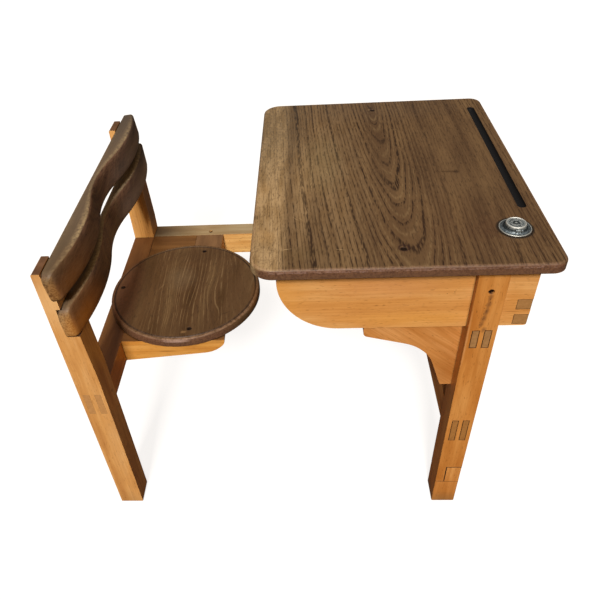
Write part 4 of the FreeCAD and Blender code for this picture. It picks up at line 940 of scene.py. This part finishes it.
def makeLid(look):  # a domed cap with a rubbed rim, a plain rosette in low relief and its knuckle
    cx, cy, cz = look["centre"]
    radius, low, high, half = (look[k] for k in ("lid", "lidLow", "lidTop", "knuckleHalf"))
    pinY, pinZ = look["pinY"], look["pinZ"]
    inside = radius - 2.8

    def dome(r):  # the face falls away a little toward the rim
        return high - 0.75 - 0.35 * (r / inside) ** 2

    def relief(r, angle):  # how far the rosette stands above or below the dome
        if r > 10.4:  # a ring of small dots
            return 0.35 * max(0, math.cos(20 * angle)) * math.sin(math.pi * (inside - r) / (inside - 10.4))
        if r > 4.4:  # petals, each with a hollow middle, swept round a little
            across = abs(math.cos(look["petals"] / 2 * (angle + 0.09 * r)))
            length = math.sin(math.pi * (r - 4.4) / 6)
            worn = 0.5 * noise.noise(Vector((r * math.cos(angle), r * math.sin(angle), 9)) * 0.33)
            return look["reliefMm"] * length * (across ** 0.6 - 0.5 * across ** 6) - 0.3 + worn
        return 0.5 * math.cos(math.pi * r / 4.4) ** 2 if r < 2.2 else -0.25

    def onFace(r, z):
        return z > low + 3.5 and r < inside + 0.01

    def rosette(r, z, angle):
        return (r, z + relief(r, angle)) if onFace(r, z) else (r, z)

    def height(x, y, z):  # above the dome, on the cap's face only
        r = math.hypot(x - cx, y - cy)
        return z - cz - dome(r) if onFace(r, z - cz) else 0

    def rubbed(x, y, z):  # the rim, and whatever stands up in the rosette
        rim = z - cz > high - 0.95 and inside + 0.1 < math.hypot(x - cx, y - cy) < radius
        return 1 if rim else (0.7 if height(x, y, z) > 0.22 else 0)

    profile = [(0, low + 1.2)] + [(radius - back, low + lift) for back, lift in (
        (3, 1.2), (2.6, 0), (0.4, 0), (0, 0.4), (0, 1.2), (0.3, 3.2))]
    profile += [(radius - back, high - down) for back, down in (
        (0.6, 0.9), (1, 0.25), (1.6, 0), (2.1, 0.15), (2.5, 0.7))]
    profile += [(r, dome(r)) for r in (
        inside, 12.6, 12, 11.4, 10.9, 10.2, 9.2, 8.2, 7.2, 6.2, 5.4, 4.7, 4.2, 3.6, 2.8, 1.8, 0.9, 0)]
    bm = bmesh.new()
    turned(bm, profile, look["centre"], 2 * look["steps"], rosette)
    knuckle = arcPoints((pinY, pinZ), look["knuckle"], 63, 300, 16)
    knuckle += [(pinY + 1.3, pinZ - 1.4), (-15.1, pinZ - 1.4), (-15.1, pinZ + look["knuckle"])]
    slices = ((-half, 0.9), (-half + 0.25, 1), (half - 0.25, 1), (half, 0.9))
    loft(bm, [[(x, pinY + (y - pinY) * size, pinZ + (z - pinZ) * size) for y, z in knuckle]
              for x, size in slices], look["centre"])
    faceOut(bm)
    mesh = toMesh(bm, "inkwell_lid_metal")
    markPoints(mesh, "arris", rubbed)
    markPoints(mesh, "hollow", lambda x, y, z: 0.8 if height(x, y, z) < -0.1 else 0)
    smoothMesh(mesh, 40)
    toObject("inkwell_lid", "metal", mesh, "inkwell_lid", zincCap)


def makePin(look):  # the hinge pin, with a small round head on each end
    half = look["knuckleHalf"] + 2.66
    profile = [(0, -half - 0.1), (0.8, -half), (0.8, half), (0, half + 0.1)]
    mesh = turnProfile("inkwell_hinge_pin_steel", profile, (0, 0, 0), 20)
    place = (Vector(look["centre"]) + Vector((0, look["pinY"], look["pinZ"]))) * mm
    mesh.transform(Matrix.Translation(place) @ Matrix.Rotation(math.radians(90), 4, "Y"))
    smoothMesh(mesh, 40)
    toObject("inkwell_hinge_pin", "steel", mesh, "inkwell", screwSteel)


pot = dict(outer=20.5, wall=2.8, depth=38, floor=4, top=0.3, foot=3, hollow=0.8, rippleMm=5.556)


def makePot(look):  # a thick pressed glass pot, round inside at the foot, a little cloudy and rippled
    outer, foot, rim, depth = look["outer"], look["foot"], look["top"], look["depth"]
    inner, ground = outer - look["wall"], look["floor"] - depth
    profile = [(0, look["hollow"] - depth), (outer - 5, look["hollow"] - depth), (outer - 4, -depth)]
    profile += arcPoints((outer - foot, foot - depth), foot, -90, 0, 6)
    profile += [(outer, rim - 0.5), (outer - 0.5, rim), (inner + 0.5, rim), (inner, rim - 0.5)]
    profile += arcPoints((inner - 3, ground + 3), 3, 0, -90, 6) + [(0, ground)]
    mesh = turnProfile("inkwell_pot_glass", profile, inkwell["centre"], 64)
    smoothMesh(mesh, 40)
    glass = bpy.data.materials.new("pressed_glass_pot")
    add = startNodes(glass)
    place = add("TexCoord", {}).outputs["Object"]
    ripple = add("TexNoise", {"Vector": place, "Scale": 1 / (look["rippleMm"] * mm), "Detail": 2})
    tint = add("ValToRGB", {"Fac": ripple, "stops": [(0.3, "#dfe9e6"), (0.7, "#f2f7f5")]})
    cloud = add("MapRange", {"Value": ripple, "To Min": 0.03, "To Max": 0.14})
    add("OutputMaterial", {"Surface": add("BsdfPrincipled", {
        "IOR": 1.52, "Transmission Weight": 1, "Base Color": tint, "Roughness": cloud})})
    toObject("inkwell_pot", "glass", mesh, "inkwell", glass)


makeFlange(inkwell)
makeLid(inkwell)
makePin(inkwell)
makePot(pot)
print("inkwell built")
